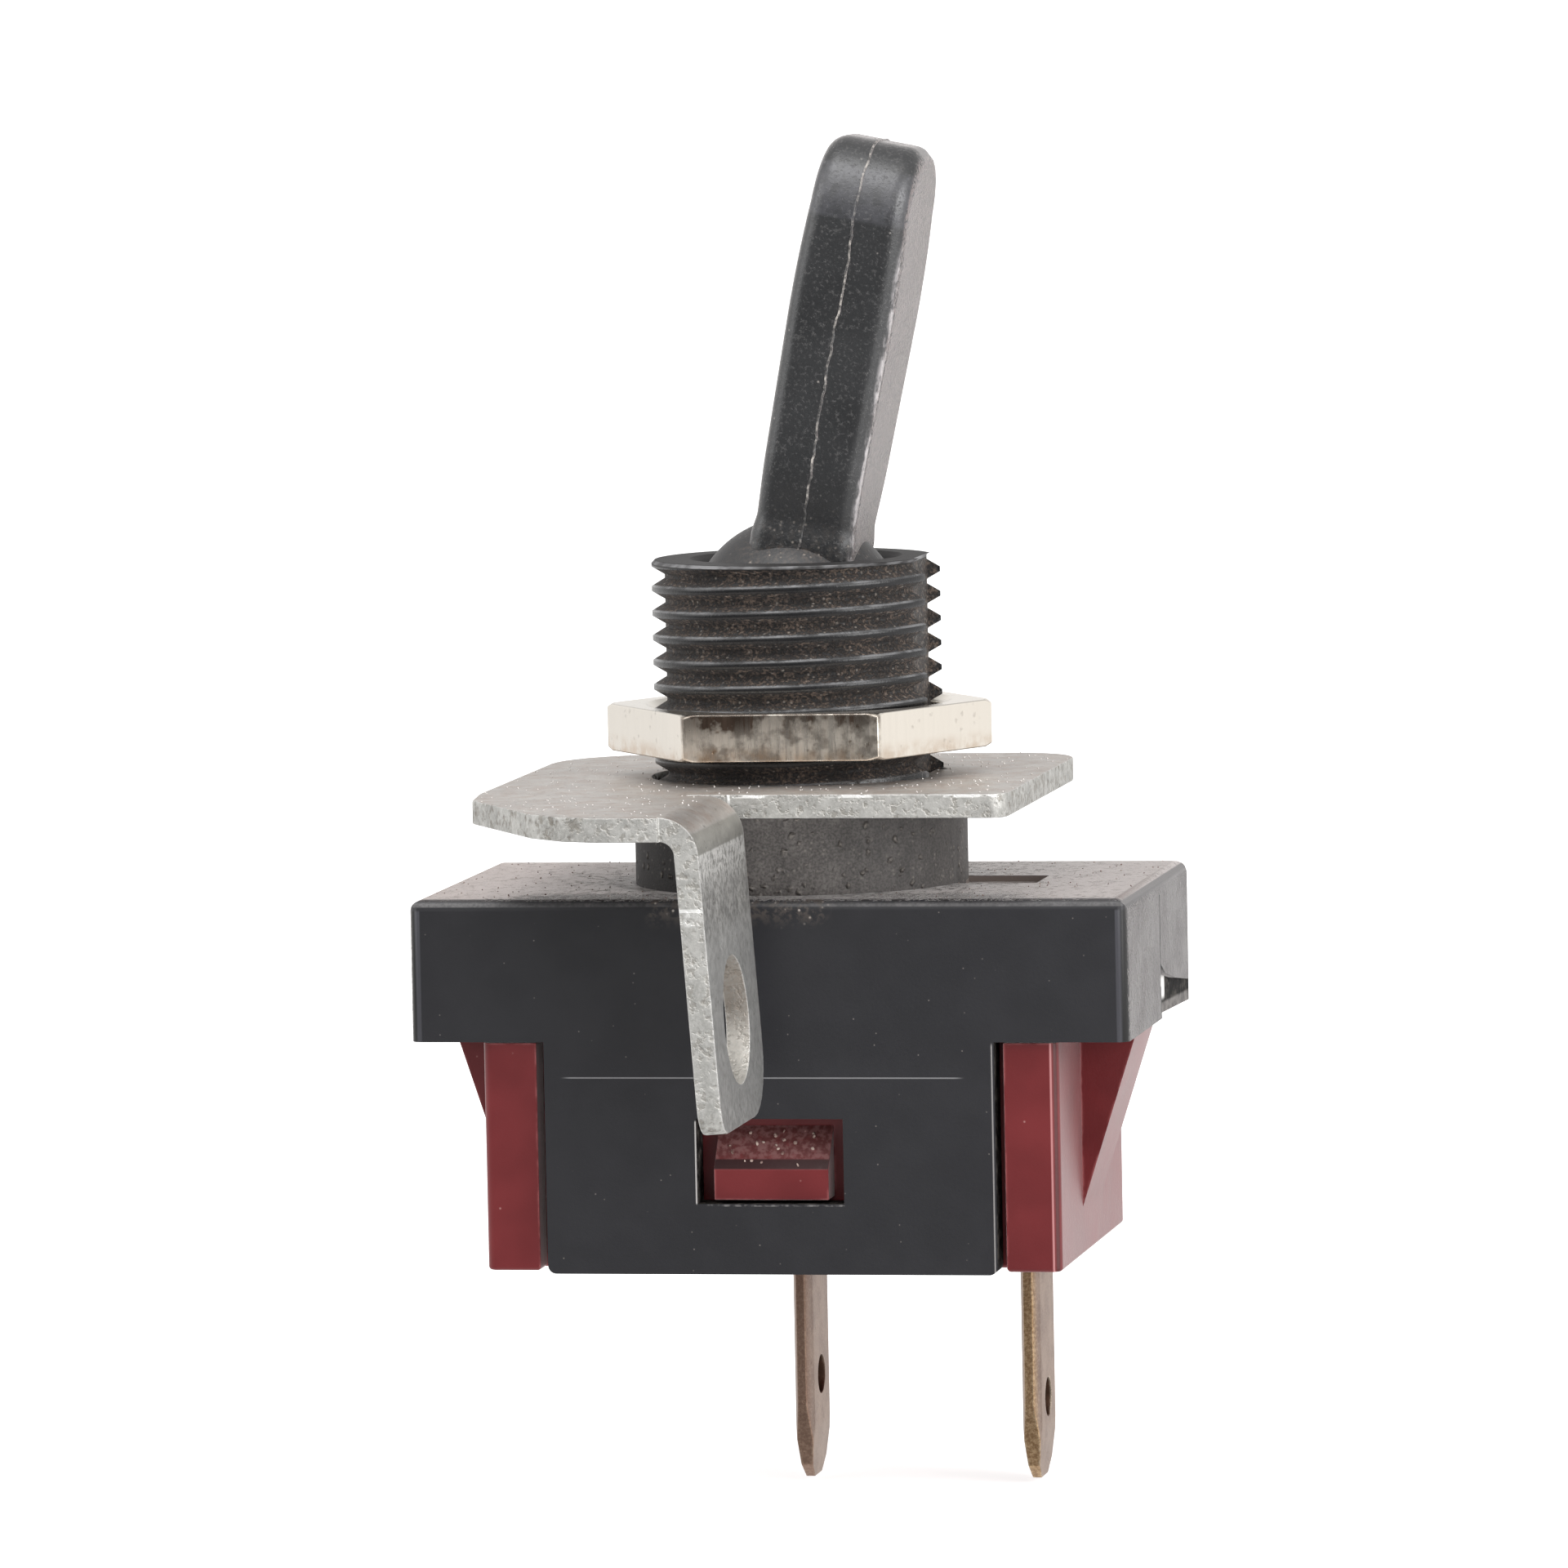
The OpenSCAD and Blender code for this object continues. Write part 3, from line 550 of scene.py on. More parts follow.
def broken_plastic():
    """Dull black of the torn corner, and a shaded copy of the cover's black laid as painted shade on the
    faces that no light reaches.
    """
    f = Finish("broken_plastic", IOR=1.5, Specular_IOR_Level=0.15)
    x, y, z = f.split(f.place)
    torn = f.noise(f.place, 0.6, 5.0, 0.7)
    f.colour = f.mix(f.ramp(torn, 0.45, 0.62), rgb(14, 13, 13), rgb(58, 55, 52))
    fibre = f.effect(specks_group, Fineness=3.0, Spot=0.3, Rarity=0.8)["Mask"]
    f.lay(rgb(120, 114, 108), fibre, 0.5)
    # Torn corner: whitened lip where the break starts, and a smoother facet under it
    chip = f.ramp(x, END_X - 2.4, END_X - 1.9)
    lip = f.product(chip, f.band(y, SEAM_Y + 2.4, SEAM_Y + 2.8, 0.25),
                    f.band(z, BAND_BOT + 0.8, BAND_BOT + 1.4, 0.35))
    facet = f.product(chip, f.ramp(z, BAND_BOT + 0.5, BAND_BOT + 0.35), f.ramp(torn, 0.3, 0.6, 0.5, 1.0))
    f.lay(rgb(140, 136, 134), facet, 0.6)
    f.lay(rgb(232, 230, 228), lip)
    rough = f.math("ADD", f.product(torn, 0.3), 0.6)
    return f.finish(rough, [(torn, 0.12)])


def lever_plastic():
    """Shiny black of the paddle, with a pale parting line, one rubbed edge that is partly a painted
    highlight, and a painted highlight on the tip.
    """
    f = Finish("lever_plastic", IOR=1.5, Specular_IOR_Level=0.85, Sheen_Weight=0.7, Sheen_Roughness=0.22,
               Sheen_Tint=(1.0, 0.94, 0.93, 1))
    x, y, z = f.split(f.place)
    grain = f.effect(grain_group, Fineness=5.0, Waviness=1.2)
    rub = f.effect(rub_group, Reach=0.0003, Fineness=1.3)
    f.colour = f.mix(f.ramp(grain["Tone"], 0.35, 0.65), rgb(27, 28, 30), rgb(34, 35, 37))
    # Scuffed edges, fine dust and a few larger flecks
    f.lay(rgb(112, 110, 112), rub["Mask"], 0.35)
    film = f.ramp(f.noise(f.place, 0.14, 4.0, 0.7), 0.52, 0.74)
    f.lay(rgb(96, 93, 92), film, 0.3)
    specks = f.effect(specks_group, Fineness=1.6, Spot=0.12, Rarity=0.66)["Mask"]
    f.lay(rgb(158, 152, 147), specks, 0.75)
    # Painted highlight on the front of the tip, and pinkish dust specks on the right faces that also paint
    # them paler as painted light
    along = f.math("ADD", f.product(x, math.sin(LEVER_TILT)),
                   f.product(f.math("SUBTRACT", z, PIVOT_Z), math.cos(LEVER_TILT)))
    mottle = f.ramp(f.noise(f.place, 0.5, 4.0, 0.65), 0.35, 0.62, 0.35, 1.0)
    tip = f.product(f.band(along, PADDLE_L - 3.1, PADDLE_L - 1.2, 0.25), f.ramp(y, -1.5, -2.2), mottle)
    f.lay(rgb(82, 82, 88), tip, 0.4)
    facing = f.split(f.node("ShaderNodeNewGeometry").outputs["Normal"])[0]
    right = f.ramp(facing, 0.8, 0.93)
    speckle = f.ramp(f.noise(f.place, 0.16, 4.0, 0.7), 0.4, 0.62)
    f.lay(rgb(136, 122, 120), right, speckle, 0.6)
    # Gritty grime where the paddle grows out of the ball
    low = f.ramp(z, BUSH_TOP + 2.6, BUSH_TOP + 0.6)
    grime = f.effect(dust_group, Fineness=4.0, Amount=0.46, Tops_only=0.0)["Mask"]
    f.lay(rgb(64, 57, 52), low, grime, 0.55)
    grit = f.effect(specks_group, Fineness=4.0, Spot=0.34, Rarity=0.6)["Mask"]
    f.lay(rgb(156, 147, 138), low, grit, 0.65)
    # Whitened flash along the parting line
    flash = f.node("ShaderNodeAttribute", attribute_name="flash").outputs["Fac"]
    broken = f.ramp(f.noise(f.place, 0.3, 4.0, 0.6), 0.42, 0.6, 0.08, 1.0)
    f.lay(rgb(168, 162, 156), flash, broken)
    # Right long edge painted pale: partly rubbed wear, partly a painted highlight
    rubbed = f.node("ShaderNodeAttribute", attribute_name="rubbed").outputs["Fac"]
    lengthwise = f.noise(f.stretched(f.place, (1.0, 1.0, 0.35)), 0.5, 4.0, 0.7)
    patchy = f.ramp(lengthwise, 0.42, 0.6, 0.05, 0.7)
    f.lay(rgb(196, 191, 192), f.ramp(rubbed, 0.35, 0.9), patchy)
    rough = f.math("ADD", f.product(grain["Tone"], 0.12), 0.27)
    rough = f.math("ADD", rough, f.product(film, 0.12))
    rough = f.math("ADD", rough, f.product(low, grime, 0.25))
    dust_relief = f.product(right, speckle)
    return f.finish(rough, [(grain["Height"], 0.014), (film, 0.008), (dust_relief, 0.025)])


def ball_plastic():
    """The lever's black on its ball, dulled by grit."""
    f = Finish("ball_plastic", IOR=1.5, Specular_IOR_Level=0.6)
    fine = f.noise(f.place, 0.1, 3.0, 0.6)
    f.colour = f.mix(f.ramp(fine, 0.35, 0.65), rgb(28, 28, 30), rgb(42, 41, 42))
    grime = f.ramp(f.noise(f.place, 0.22, 4.0, 0.7), 0.46, 0.64)
    # Most of the grit lies in front of the paddle's foot
    x, y, _ = f.split(f.place)
    foot_x = 0.4
    off_foot = f.math("ABSOLUTE", f.math("SUBTRACT", x, foot_x))
    foot = f.product(f.ramp(y, -1.5, -2.6), f.ramp(off_foot, 2.6, 1.8))
    f.lay(rgb(74, 66, 61), grime, f.ramp(foot, 0.0, 1.0, 0.25, 0.7))
    grit = f.effect(specks_group, Fineness=4.0, Spot=0.34, Rarity=0.55)["Mask"]
    f.lay(rgb(156, 147, 138), grit, f.ramp(foot, 0.0, 1.0, 0.2, 0.8))
    rough = f.math("MULTIPLY_ADD", fine, 0.2, 0.36)
    return f.finish(rough, [(fine, 0.012), (grit, 0.03)])


def base_plastic():
    """Dark red of the base, with dust on its catches and a painted highlight and painted dark line down the
    right post's corner.
    """
    f = Finish("base_plastic", IOR=1.5, Sheen_Weight=0.9, Sheen_Roughness=0.2,
               Sheen_Tint=(1.0, 0.97, 0.97, 1))
    grain = f.effect(grain_group, Fineness=6.0, Waviness=1.6)
    rub = f.effect(rub_group, Reach=0.0002, Fineness=1.4)
    f.colour = f.mix(f.ramp(grain["Tone"], 0.3, 0.7), rgb(92, 19, 23), rgb(104, 25, 29))
    f.lay(rgb(196, 122, 122), rub["Mask"], 0.45)
    # Brownish dust on the catch ramps
    x, y, z = f.split(f.place)
    ramp_dust = f.effect(dust_group, Fineness=2.2, Amount=0.7, Tops_only=1.0)["Mask"]
    clumps = f.ramp(f.noise(f.place, 0.26, 3.0, 0.6), 0.4, 0.6)
    settled = f.product(ramp_dust, f.ramp(z, CATCH_FOOT, CATCH_FOOT + 0.7, 0.3, 0.9))
    f.lay(f.mix(clumps, rgb(78, 46, 44), rgb(122, 92, 90)), settled)
    foot = f.product(f.band(z, CATCH_FOOT, CATCH_FOOT + 0.3, 0.08), f.ramp(f.up(), 0.3, 0.5))
    f.lay(rgb(40, 3, 5), foot)
    specks = f.effect(specks_group, Fineness=1.5, Spot=0.1, Rarity=0.74)["Mask"]
    f.lay(rgb(190, 150, 145), specks, 0.5)
    # Painted highlight down the right post's rounded front corner, with a painted dark reflection line beside
    # it
    post = f.ramp(y, FRONT_Y + 0.6, FRONT_Y + 0.5)
    painted_post_highlight = f.product(post, f.band(x, BASE_X - 0.33, BASE_X - 0.29, 0.04), 0.4)
    f.lay(rgb(226, 166, 166), painted_post_highlight)
    painted_dark_line = f.product(post, f.band(x, BASE_X - 0.19, BASE_X - 0.09, 0.03), 0.8)
    f.lay(rgb(62, 8, 11), painted_dark_line)
    rough = f.math("ADD", f.product(grain["Tone"], 0.1), 0.34)
    rough = f.math("ADD", rough, f.product(ramp_dust, 0.3))
    return f.finish(rough, [(grain["Height"], 0.008)])


def crumb_dirt():
    """Dry brownish dirt in crumbs and grains."""
    f = Finish("crumb_dirt", IOR=1.45)
    tone = f.noise(f.place, 0.3, 3.0, 0.6)
    f.colour = f.mix(f.ramp(tone, 0.35, 0.65), rgb(92, 62, 56), rgb(178, 160, 150))
    return f.finish(f.ramp(tone, 0.2, 0.8, 0.5, 0.8), [(tone, 0.03)])


def nut_plating():
    """Pale plating, worn through on the flat that faces the viewer, which also carries a painted dark
    reflection, with painted shade on the left flats.
    """
    f = Finish("nut_plating", Metallic=1.0)
    x, y, z = f.split(f.place)
    streak = f.effect(streaks_group, Fineness=3.2)["Mask"]
    blotch = f.noise(f.place, 1.1, 4.0, 0.6)
    rub = f.effect(rub_group, Reach=0.00018, Fineness=1.0)
    spots = f.effect(pits_group, Fineness=2.6, Width=0.35, Rarity=0.62)["Mask"]
    # The flat that faces the viewer has lost most of its plating; its darker top and left corner are a
    # painted dark reflection
    flat_way = NUT_TURN - math.pi / 2
    toward = f.math("ADD", f.product(x, math.cos(flat_way)),
                    f.product(y, math.sin(flat_way)))
    worn = f.ramp(toward, NUT_FLAT - 0.25, NUT_FLAT - 0.1)
    corner = f.product(f.ramp(x, 0.5, -3.6), f.ramp(z, NUT_BOT + 0.35, NUT_TOP - 0.4), 0.4)
    bare = f.math("ADD", f.ramp(blotch, 0.42, 0.6, 0.0, 0.6), f.product(streak, 0.28))
    bare = f.math("ADD", bare, f.ramp(z, NUT_TOP - 1.1, NUT_TOP - 0.1, -0.12, 0.22))
    bare = f.math("ADD", bare, corner, clamp=True)
    clean = f.mix(f.product(streak, 0.07), rgb(240, 233, 222), rgb(200, 190, 176))
    # Painted shade: the flats on the left are painted greyer
    clean = f.mix(f.ramp(x, -2.0, -5.0, 0.0, 0.3), clean, rgb(196, 194, 190))
    rubbed = f.mix(bare, rgb(232, 224, 212), rgb(88, 75, 66))
    f.colour = f.mix(worn, clean, rubbed)
    dotted = f.ramp(worn, 0.0, 1.0, 0.25, 0.8)
    spotted = f.product(spots, dotted)
    f.lay(rgb(92, 76, 62), spotted)
    # Brown stain along the lower edge
    stain = f.ramp(f.noise(f.place, 0.9, 4.0), 0.35, 0.65)
    low = f.product(f.ramp(z, NUT_BOT + 0.85, NUT_BOT + 0.05), stain)
    f.lay(rgb(182, 146, 108), low, 0.5)
    f.lay(rgb(250, 246, 238), rub["Edge"], 0.75)
    rough = f.math("ADD", f.product(streak, worn, 0.2), 0.24)
    return f.finish(rough, [(f.product(streak, worn), -0.008), (spotted, -0.012)])


def zinc_sheet():
    """Dull mottled zinc on the faces of the plate and its lug."""
    f = Finish("zinc_sheet", Metallic=0.85)
    _, y, z = f.split(f.place)
    mottle = f.noise(f.place, 1.6, 4.0, 0.6)
    spangle = f.noise(f.place, 0.3, 4.0, 0.65)
    rub = f.effect(rub_group, Reach=0.00016, Fineness=0.7)
    f.colour = f.mix(f.ramp(mottle, 0.35, 0.68), rgb(158, 157, 155), rgb(184, 183, 180))
    f.lay(rgb(212, 211, 208), f.ramp(spangle, 0.45, 0.7), 0.4)
    # Pinkish film on the flat top, and a bright patch stretched by the fold
    flat_top = f.band(z, PLATE_TOP - 0.5, PLATE_TOP + 0.1, 0.3)
    warm = f.effect(dust_group, Fineness=0.9, Amount=0.5, Tops_only=1.0)["Mask"]
    f.lay(rgb(214, 206, 200), flat_top, 0.4)
    f.lay(rgb(170, 152, 141), flat_top, warm, 0.6)
    crumbs = f.ramp(f.noise(f.place, 0.2, 3.0, 0.7), 0.58, 0.68)
    f.lay(rgb(120, 106, 98), flat_top, crumbs, 0.5)
    brushed = f.noise(f.stretched(f.place, (0.2, 1.0, 1.0)), 0.35, 4.0, 0.65)
    lug = f.ramp(y, PLATE_FRONT - 0.5, PLATE_FRONT - 0.8)
    fold = f.product(lug, f.ramp(z, FOLD_Z + 0.1, FOLD_Z), f.ramp(z, FOLD_Z - 1.8, FOLD_Z - 0.6),
                     f.ramp(spangle, 0.35, 0.6, 0.5, 1.0))
    f.lay(rgb(232, 231, 228), fold, 0.8)
    stained = f.product(lug, f.ramp(spangle, 0.52, 0.4), f.ramp(z, FOLD_Z + 0.2, FOLD_Z))
    f.lay(rgb(124, 123, 119), stained, 0.5)
    bend = f.product(lug, f.band(z, FOLD_Z + 0.1, FOLD_Z + 0.85, 0.1))
    f.lay(rgb(146, 144, 136), bend, 0.6)
    tiny = f.ramp(f.noise(f.place, 0.12, 3.0, 0.7), 0.5, 0.66)
    speckle = f.product(lug, tiny, f.ramp(z, FOLD_Z + 0.1, FOLD_Z - 0.1))
    f.lay(rgb(108, 107, 104), speckle, 0.4)
    below = f.product(lug, f.ramp(z, FOLD_Z - 2.4, FOLD_Z - 3.9))
    f.lay(rgb(206, 206, 204), below, 0.5)
    f.lay(rgb(236, 236, 234), rub["Edge"], 0.5)
    pits = f.effect(pits_group, Fineness=2.4, Width=0.3, Rarity=0.5)["Mask"]
    f.lay(rgb(112, 107, 101), pits, 0.5)
    rough = f.math("ADD", f.product(spangle, 0.22), 0.34)
    return f.finish(rough, [(spangle, 0.014), (mottle, 0.02), (brushed, 0.006), (pits, -0.02)])


def zinc_sheared():
    """Pitted zinc on the punched edges of the plate, its lug and the lug's hole."""
    f = Finish("zinc_sheared", Metallic=0.6)
    x, y, z = f.split(f.place)
    pits = f.effect(pits_group, Fineness=2.8, Width=0.5, Rarity=0.2)["Mask"]
    rub = f.effect(rub_group, Reach=0.00014, Fineness=0.6)
    tone = f.noise(f.place, 0.8, 4.0, 0.65)
    grit = f.noise(f.place, 0.14, 3.0, 0.7)
    f.colour = f.mix(f.ramp(tone, 0.35, 0.68), rgb(148, 147, 143), rgb(180, 179, 175))
    f.lay(rgb(212, 211, 208), f.ramp(grit, 0.42, 0.68), 0.35)
    f.lay(rgb(112, 105, 96), pits, 0.6)
    eaten = f.ramp(f.noise(f.place, 0.42, 3.0, 0.6), 0.53, 0.64)
    f.lay(rgb(122, 116, 106), eaten, 0.55)
    # Long edge of the plate: lighter, with a broken burr along the top and one score across it
    long_edge = f.product(f.band(y, PLATE_FRONT - 0.3, PLATE_FRONT + 0.15, 0.05), f.ramp(z, -0.1, 0.05))
    f.lay(rgb(226, 225, 222), long_edge, 0.15)
    dashes = f.ramp(f.noise(f.stretched(f.place, (0.6, 1.0, 1.0)), 0.7), 0.5, 0.56)
    burr = f.product(long_edge, f.band(z, PLATE_TOP - 0.14, PLATE_TOP - 0.06, 0.03), dashes)
    score_x = -1.11
    score = f.product(long_edge, f.band(x, score_x - 0.04, score_x + 0.04, 0.03))
    # Lug: line across it under the fold with a bright patch below, burr along the lower edges
    lug = f.ramp(y, PLATE_FRONT - 0.5, PLATE_FRONT - 0.7)
    lug_front = f.ramp(y, LUG_FRONT + 0.4, LUG_FRONT + 0.2)
    f.lay(rgb(216, 216, 213), lug_front, 0.2)
    line_z = -2.75
    across = f.product(lug_front, f.band(z, line_z - 0.05, line_z + 0.05, 0.04), 0.8)
    patch = f.product(lug_front, f.band(z, line_z - 0.55, line_z - 0.15, 0.2), f.ramp(tone, 0.42, 0.6), 0.6)
    lug_burr = f.product(lug, rub["Edge"], f.ramp(z, line_z - 0.25, line_z - 0.85))
    bright = f.math("ADD", f.math("ADD", burr, score), f.math("ADD", across, lug_burr), clamp=True)
    bright = f.math("ADD", bright, patch, clamp=True)
    # Hole in the lug: brown above, whitish low down
    hole_y, hole_z, hole_r = -15.5, -7.71, 2.6
    dy, dz = f.math("SUBTRACT", y, hole_y), f.math("SUBTRACT", z, hole_z)
    from_hole = f.math("SQRT", f.math("ADD", f.product(dy, dy), f.product(dz, dz)))
    wall = f.ramp(from_hole, hole_r + 0.15, hole_r + 0.05)
    wall_tone = f.mix(f.ramp(dz, 0.6, -1.6), rgb(136, 126, 116), rgb(196, 192, 185))
    f.lay(wall_tone, wall, f.ramp(grit, 0.3, 0.6, 0.35, 0.8))
    f.lay(rgb(238, 238, 236), rub["Edge"], 0.4)
    f.lay(rgb(250, 250, 248), bright, 0.85)
    rough = f.math("ADD", f.product(pits, 0.2), 0.5)
    return f.finish(rough, [(pits, -0.04), (eaten, -0.03), (grit, 0.02)])


def spade_bronze():
    """Brown tarnished bronze, with browner punched edges and hole walls."""
    f = Finish("spade_bronze", Metallic=0.9)
    x, y, z = f.split(f.place)
    grain = f.noise(f.place, 0.12, 3.0, 0.65)
    tone = f.noise(f.place, 1.4, 4.0, 0.6)
    rub = f.effect(rub_group, Reach=0.0002, Fineness=1.6)
    pits = f.effect(pits_group, Fineness=4.0, Width=0.35, Rarity=0.6)["Mask"]
    f.colour = f.mix(f.ramp(tone, 0.35, 0.65), rgb(138, 116, 104), rgb(158, 136, 122))
    f.lay(rgb(190, 171, 157), f.ramp(grain, 0.48, 0.66), 0.4)
    # Punched edges are browner, and brassy on the outer spade
    facing = f.split(f.node("ShaderNodeNewGeometry").outputs["Normal"])[1]
    edge_face = f.ramp(f.math("ABSOLUTE", facing), 0.1, 0.35)
    between_spades = 5.0
    outer = f.ramp(x, between_spades - 1.0, between_spades + 1.0)
    plain = f.mix(f.ramp(grain, 0.4, 0.64), rgb(136, 110, 95), rgb(158, 131, 114))
    brassy = f.mix(f.ramp(grain, 0.4, 0.64), rgb(150, 119, 84), rgb(198, 168, 130))
    f.lay(f.mix(outer, plain, brassy), edge_face, 0.85)
    hole_r = 0.8
    in_hole = f.product(edge_face, f.ramp(f.math("ABSOLUTE", y), hole_r + 0.6, hole_r + 0.4),
                        f.ramp(z, SPADE_TIP_Z + 1.2, SPADE_TIP_Z + 1.6))
    f.lay(rgb(84, 62, 50), in_hole)
    f.lay(rgb(96, 76, 60), pits, 0.4)
    shine = f.product(rub["Mask"], f.ramp(outer, 0.0, 1.0, 0.3, 0.9))
    f.lay(rgb(246, 236, 216), shine)
    rough = f.math("ADD", f.product(grain, 0.2), 0.34)
    return f.finish(rough, [(grain, 0.006), (pits, -0.012)])


def inner_metal(name, dark, light, rough_from):
    """Bright drawn metal of the pieces inside."""
    f = Finish(name, Metallic=1.0)
    tone = f.noise(f.place, 0.7, 4.0, 0.6)
    streak = f.effect(streaks_group, Fineness=6.0)["Mask"]
    f.colour = f.mix(f.ramp(tone, 0.3, 0.7), dark, light)
    rough = f.math("ADD", f.product(streak, 0.15), rough_from)
    return f.finish(rough, [(streak, 0.004)])


def plunger_plastic():
    """Cream plastic of the plunger."""
    f = Finish("plunger_plastic", IOR=1.5)
    grain = f.effect(grain_group, Fineness=7.0, Waviness=1.2)
    f.colour = f.mix(f.ramp(grain["Tone"], 0.3, 0.7), rgb(222, 216, 200), rgb(236, 232, 220))
    rough = f.math("ADD", f.product(grain["Tone"], 0.1), 0.35)
    return f.finish(rough, [(grain["Height"], 0.005)])


# Geometry Nodes trees

def geometry_tree(name, sockets):
    """A tree with named size inputs. Returns it with its net and its input sockets."""
    tree = bpy.data.node_groups.new(name, "GeometryNodeTree")
    tree.interface.new_socket("Geometry", in_out="INPUT", socket_type="NodeSocketGeometry")
    for label, kind in sockets:
        tree.interface.new_socket(label, in_out="INPUT", socket_type=kind)
    tree.interface.new_socket("Material", in_out="INPUT", socket_type="NodeSocketMaterial")
    tree.interface.new_socket("Geometry", in_out="OUTPUT", socket_type="NodeSocketGeometry")
    net = Net(tree)
    return tree, net, net.node("NodeGroupInput").outputs


def close_tree(net, given, geometry):
    real = net.node("GeometryNodeRealizeInstances", {0: geometry}).outputs[0]
    painted = net.node("GeometryNodeSetMaterial", {"Geometry": real, "Material": given["Material"]})
    net.node("NodeGroupOutput", {0: painted.outputs[0]})


def run_tree(ob, tree, **values):
    modifier = ob.modifiers.new(tree.name, "NODES")
    modifier.node_group = tree
    for item in tree.interface.items_tree:
        key = item.name.replace(" ", "_")
        if item.in_out == "INPUT" and key in values:
            modifier[item.identifier] = values[key]
    return settle_mesh(ob)


def helix_curve(net, radius, rise, turns, steps):
    spiral = net.node("GeometryNodeCurveSpiral", {
        "Resolution": steps, "Rotations": turns, "Start Radius": radius, "End Radius": radius,
        "Height": rise, "Reverse": True})
    return net.node("GeometryNodeSetCurveNormal", {0: spiral.outputs[0]}, mode="Z_UP").outputs[0]


def thread_tree():
    """Cuts a right-hand V groove round a solid of the crest's radius."""
    sizes = ("Crest radius", "Pitch", "Depth", "Root flat", "Start height", "End height")
    tree, net, given = geometry_tree("screw_thread", [(s, FLOAT) for s in sizes])
    rise = net.math("SUBTRACT", given["End height"], given["Start height"])
    turns = net.math("DIVIDE", rise, given["Pitch"])
    path = helix_curve(net, given["Crest radius"], rise, turns, 128)
    past = net.math("MULTIPLY", given["Depth"], 0.12)
    half_in = net.math("MULTIPLY", given["Root flat"], 0.5)
    reach = net.math("ADD", given["Depth"], past)
    flank = math.radians(31)
    half_out = net.math("MULTIPLY_ADD", reach, math.tan(flank), half_in)
    inside = net.math("MULTIPLY", given["Depth"], -1.0)

    def corner(x, y, side):
        return net.node("ShaderNodeCombineXYZ", {0: x, 1: net.math("MULTIPLY", y, side)}).outputs[0]

    section = net.node("GeometryNodeCurvePrimitiveQuadrilateral", {
        "Point 1": corner(inside, half_in, 1.0), "Point 2": corner(inside, half_in, -1.0),
        "Point 3": corner(past, half_out, -1.0), "Point 4": corner(past, half_out, 1.0)}, mode="POINTS")
    groove = net.node("GeometryNodeCurveToMesh", {
        "Curve": path, "Profile Curve": section.outputs[0], "Fill Caps": True}).outputs[0]
    lift = net.node("ShaderNodeCombineXYZ", {2: given["Start height"]}).outputs[0]
    placed = net.node("GeometryNodeTransform", {"Geometry": groove, "Translation": lift}).outputs[0]
    cut = net.node("GeometryNodeMeshBoolean", operation="DIFFERENCE", solver="MANIFOLD")
    net.feed(cut.inputs["Mesh 1"], given["Geometry"])
    net.feed(cut.inputs["Mesh 2"], placed)
    close_tree(net, given, cut.outputs[0])
    return tree


def coil_tree():
    """A compression spring standing on the origin, then carried to its place."""
    sizes = [(s, FLOAT) for s in ("Coil radius", "Wire radius", "Length", "Turns", "Lean")]
    tree, net, given = geometry_tree("coil_spring", sizes + [("Foot", VECTOR)])
    rise = net.math("MULTIPLY_ADD", given["Wire radius"], -2.0, given["Length"])
    path = helix_curve(net, given["Coil radius"], rise, given["Turns"], 28)
    wire = net.node("GeometryNodeCurvePrimitiveCircle", {"Resolution": 10, "Radius": given["Wire radius"]})
    coil = net.node("GeometryNodeCurveToMesh", {
        "Curve": path, "Profile Curve": wire.outputs[0], "Fill Caps": True}).outputs[0]
    lift = net.node("ShaderNodeCombineXYZ", {2: given["Wire radius"]}).outputs[0]
    stood = net.node("GeometryNodeTransform", {"Geometry": coil, "Translation": lift}).outputs[0]
    lean = net.node("ShaderNodeCombineXYZ", {1: given["Lean"]}).outputs[0]
    rotation = net.node("FunctionNodeEulerToRotation", {0: lean}).outputs[0]
    placed = net.node("GeometryNodeTransform", {
        "Geometry": stood, "Translation": given["Foot"], "Rotation": rotation}).outputs[0]
    close_tree(net, given, placed)
    return tree


def crumb_tree():
    """Lumpy crumbs scattered over a patch of surface."""
    tree, net, given = geometry_tree("dust_crumbs", [
        ("Size", FLOAT), ("Per area", FLOAT), ("Rounding", WHOLE), ("Seed", WHOLE)])
    spread = net.node("GeometryNodeDistributePointsOnFaces", {
        "Mesh": given["Geometry"], "Density": given["Per area"], "Seed": given["Seed"]}).outputs
    crumb = net.node("GeometryNodeMeshIcoSphere", {
        "Radius": given["Size"], "Subdivisions": given["Rounding"]}).outputs[0]
    flat = net.node("FunctionNodeRandomValue", {0: (0.4, 0.4, 0.5), 1: (1.0, 0.8, 1.6), "Seed": 3},
                    data_type="FLOAT_VECTOR").outputs[0]
    turned = net.node("FunctionNodeRandomValue", {0: (0.0, -0.6, -0.8), 1: (0.6, 0.6, 0.8), "Seed": 5},
                      data_type="FLOAT_VECTOR").outputs[0]
    placed = net.node("GeometryNodeInstanceOnPoints", {
        "Points": spread["Points"], "Instance": crumb, "Scale": flat,
        "Rotation": net.node("FunctionNodeEulerToRotation", {0: turned}).outputs[0]}).outputs[0]
    close_tree(net, given, placed)
    return tree


# Pieces

def on_lever(x, y, z):
    """A point in the lever's own axes, in millimetres, carried to its place, in metres."""
    c, s = math.cos(LEVER_TILT), math.sin(LEVER_TILT)
    return ((x * c + z * s) * MM, y * MM, (PIVOT_Z - x * s + z * c) * MM)


def fade(value, low, high):
    """0 at low and 1 at high, eased at both ends."""
    t = min(1.0, max(0.0, (value - low) / (high - low)))
    return t * t * (3 - 2 * t)


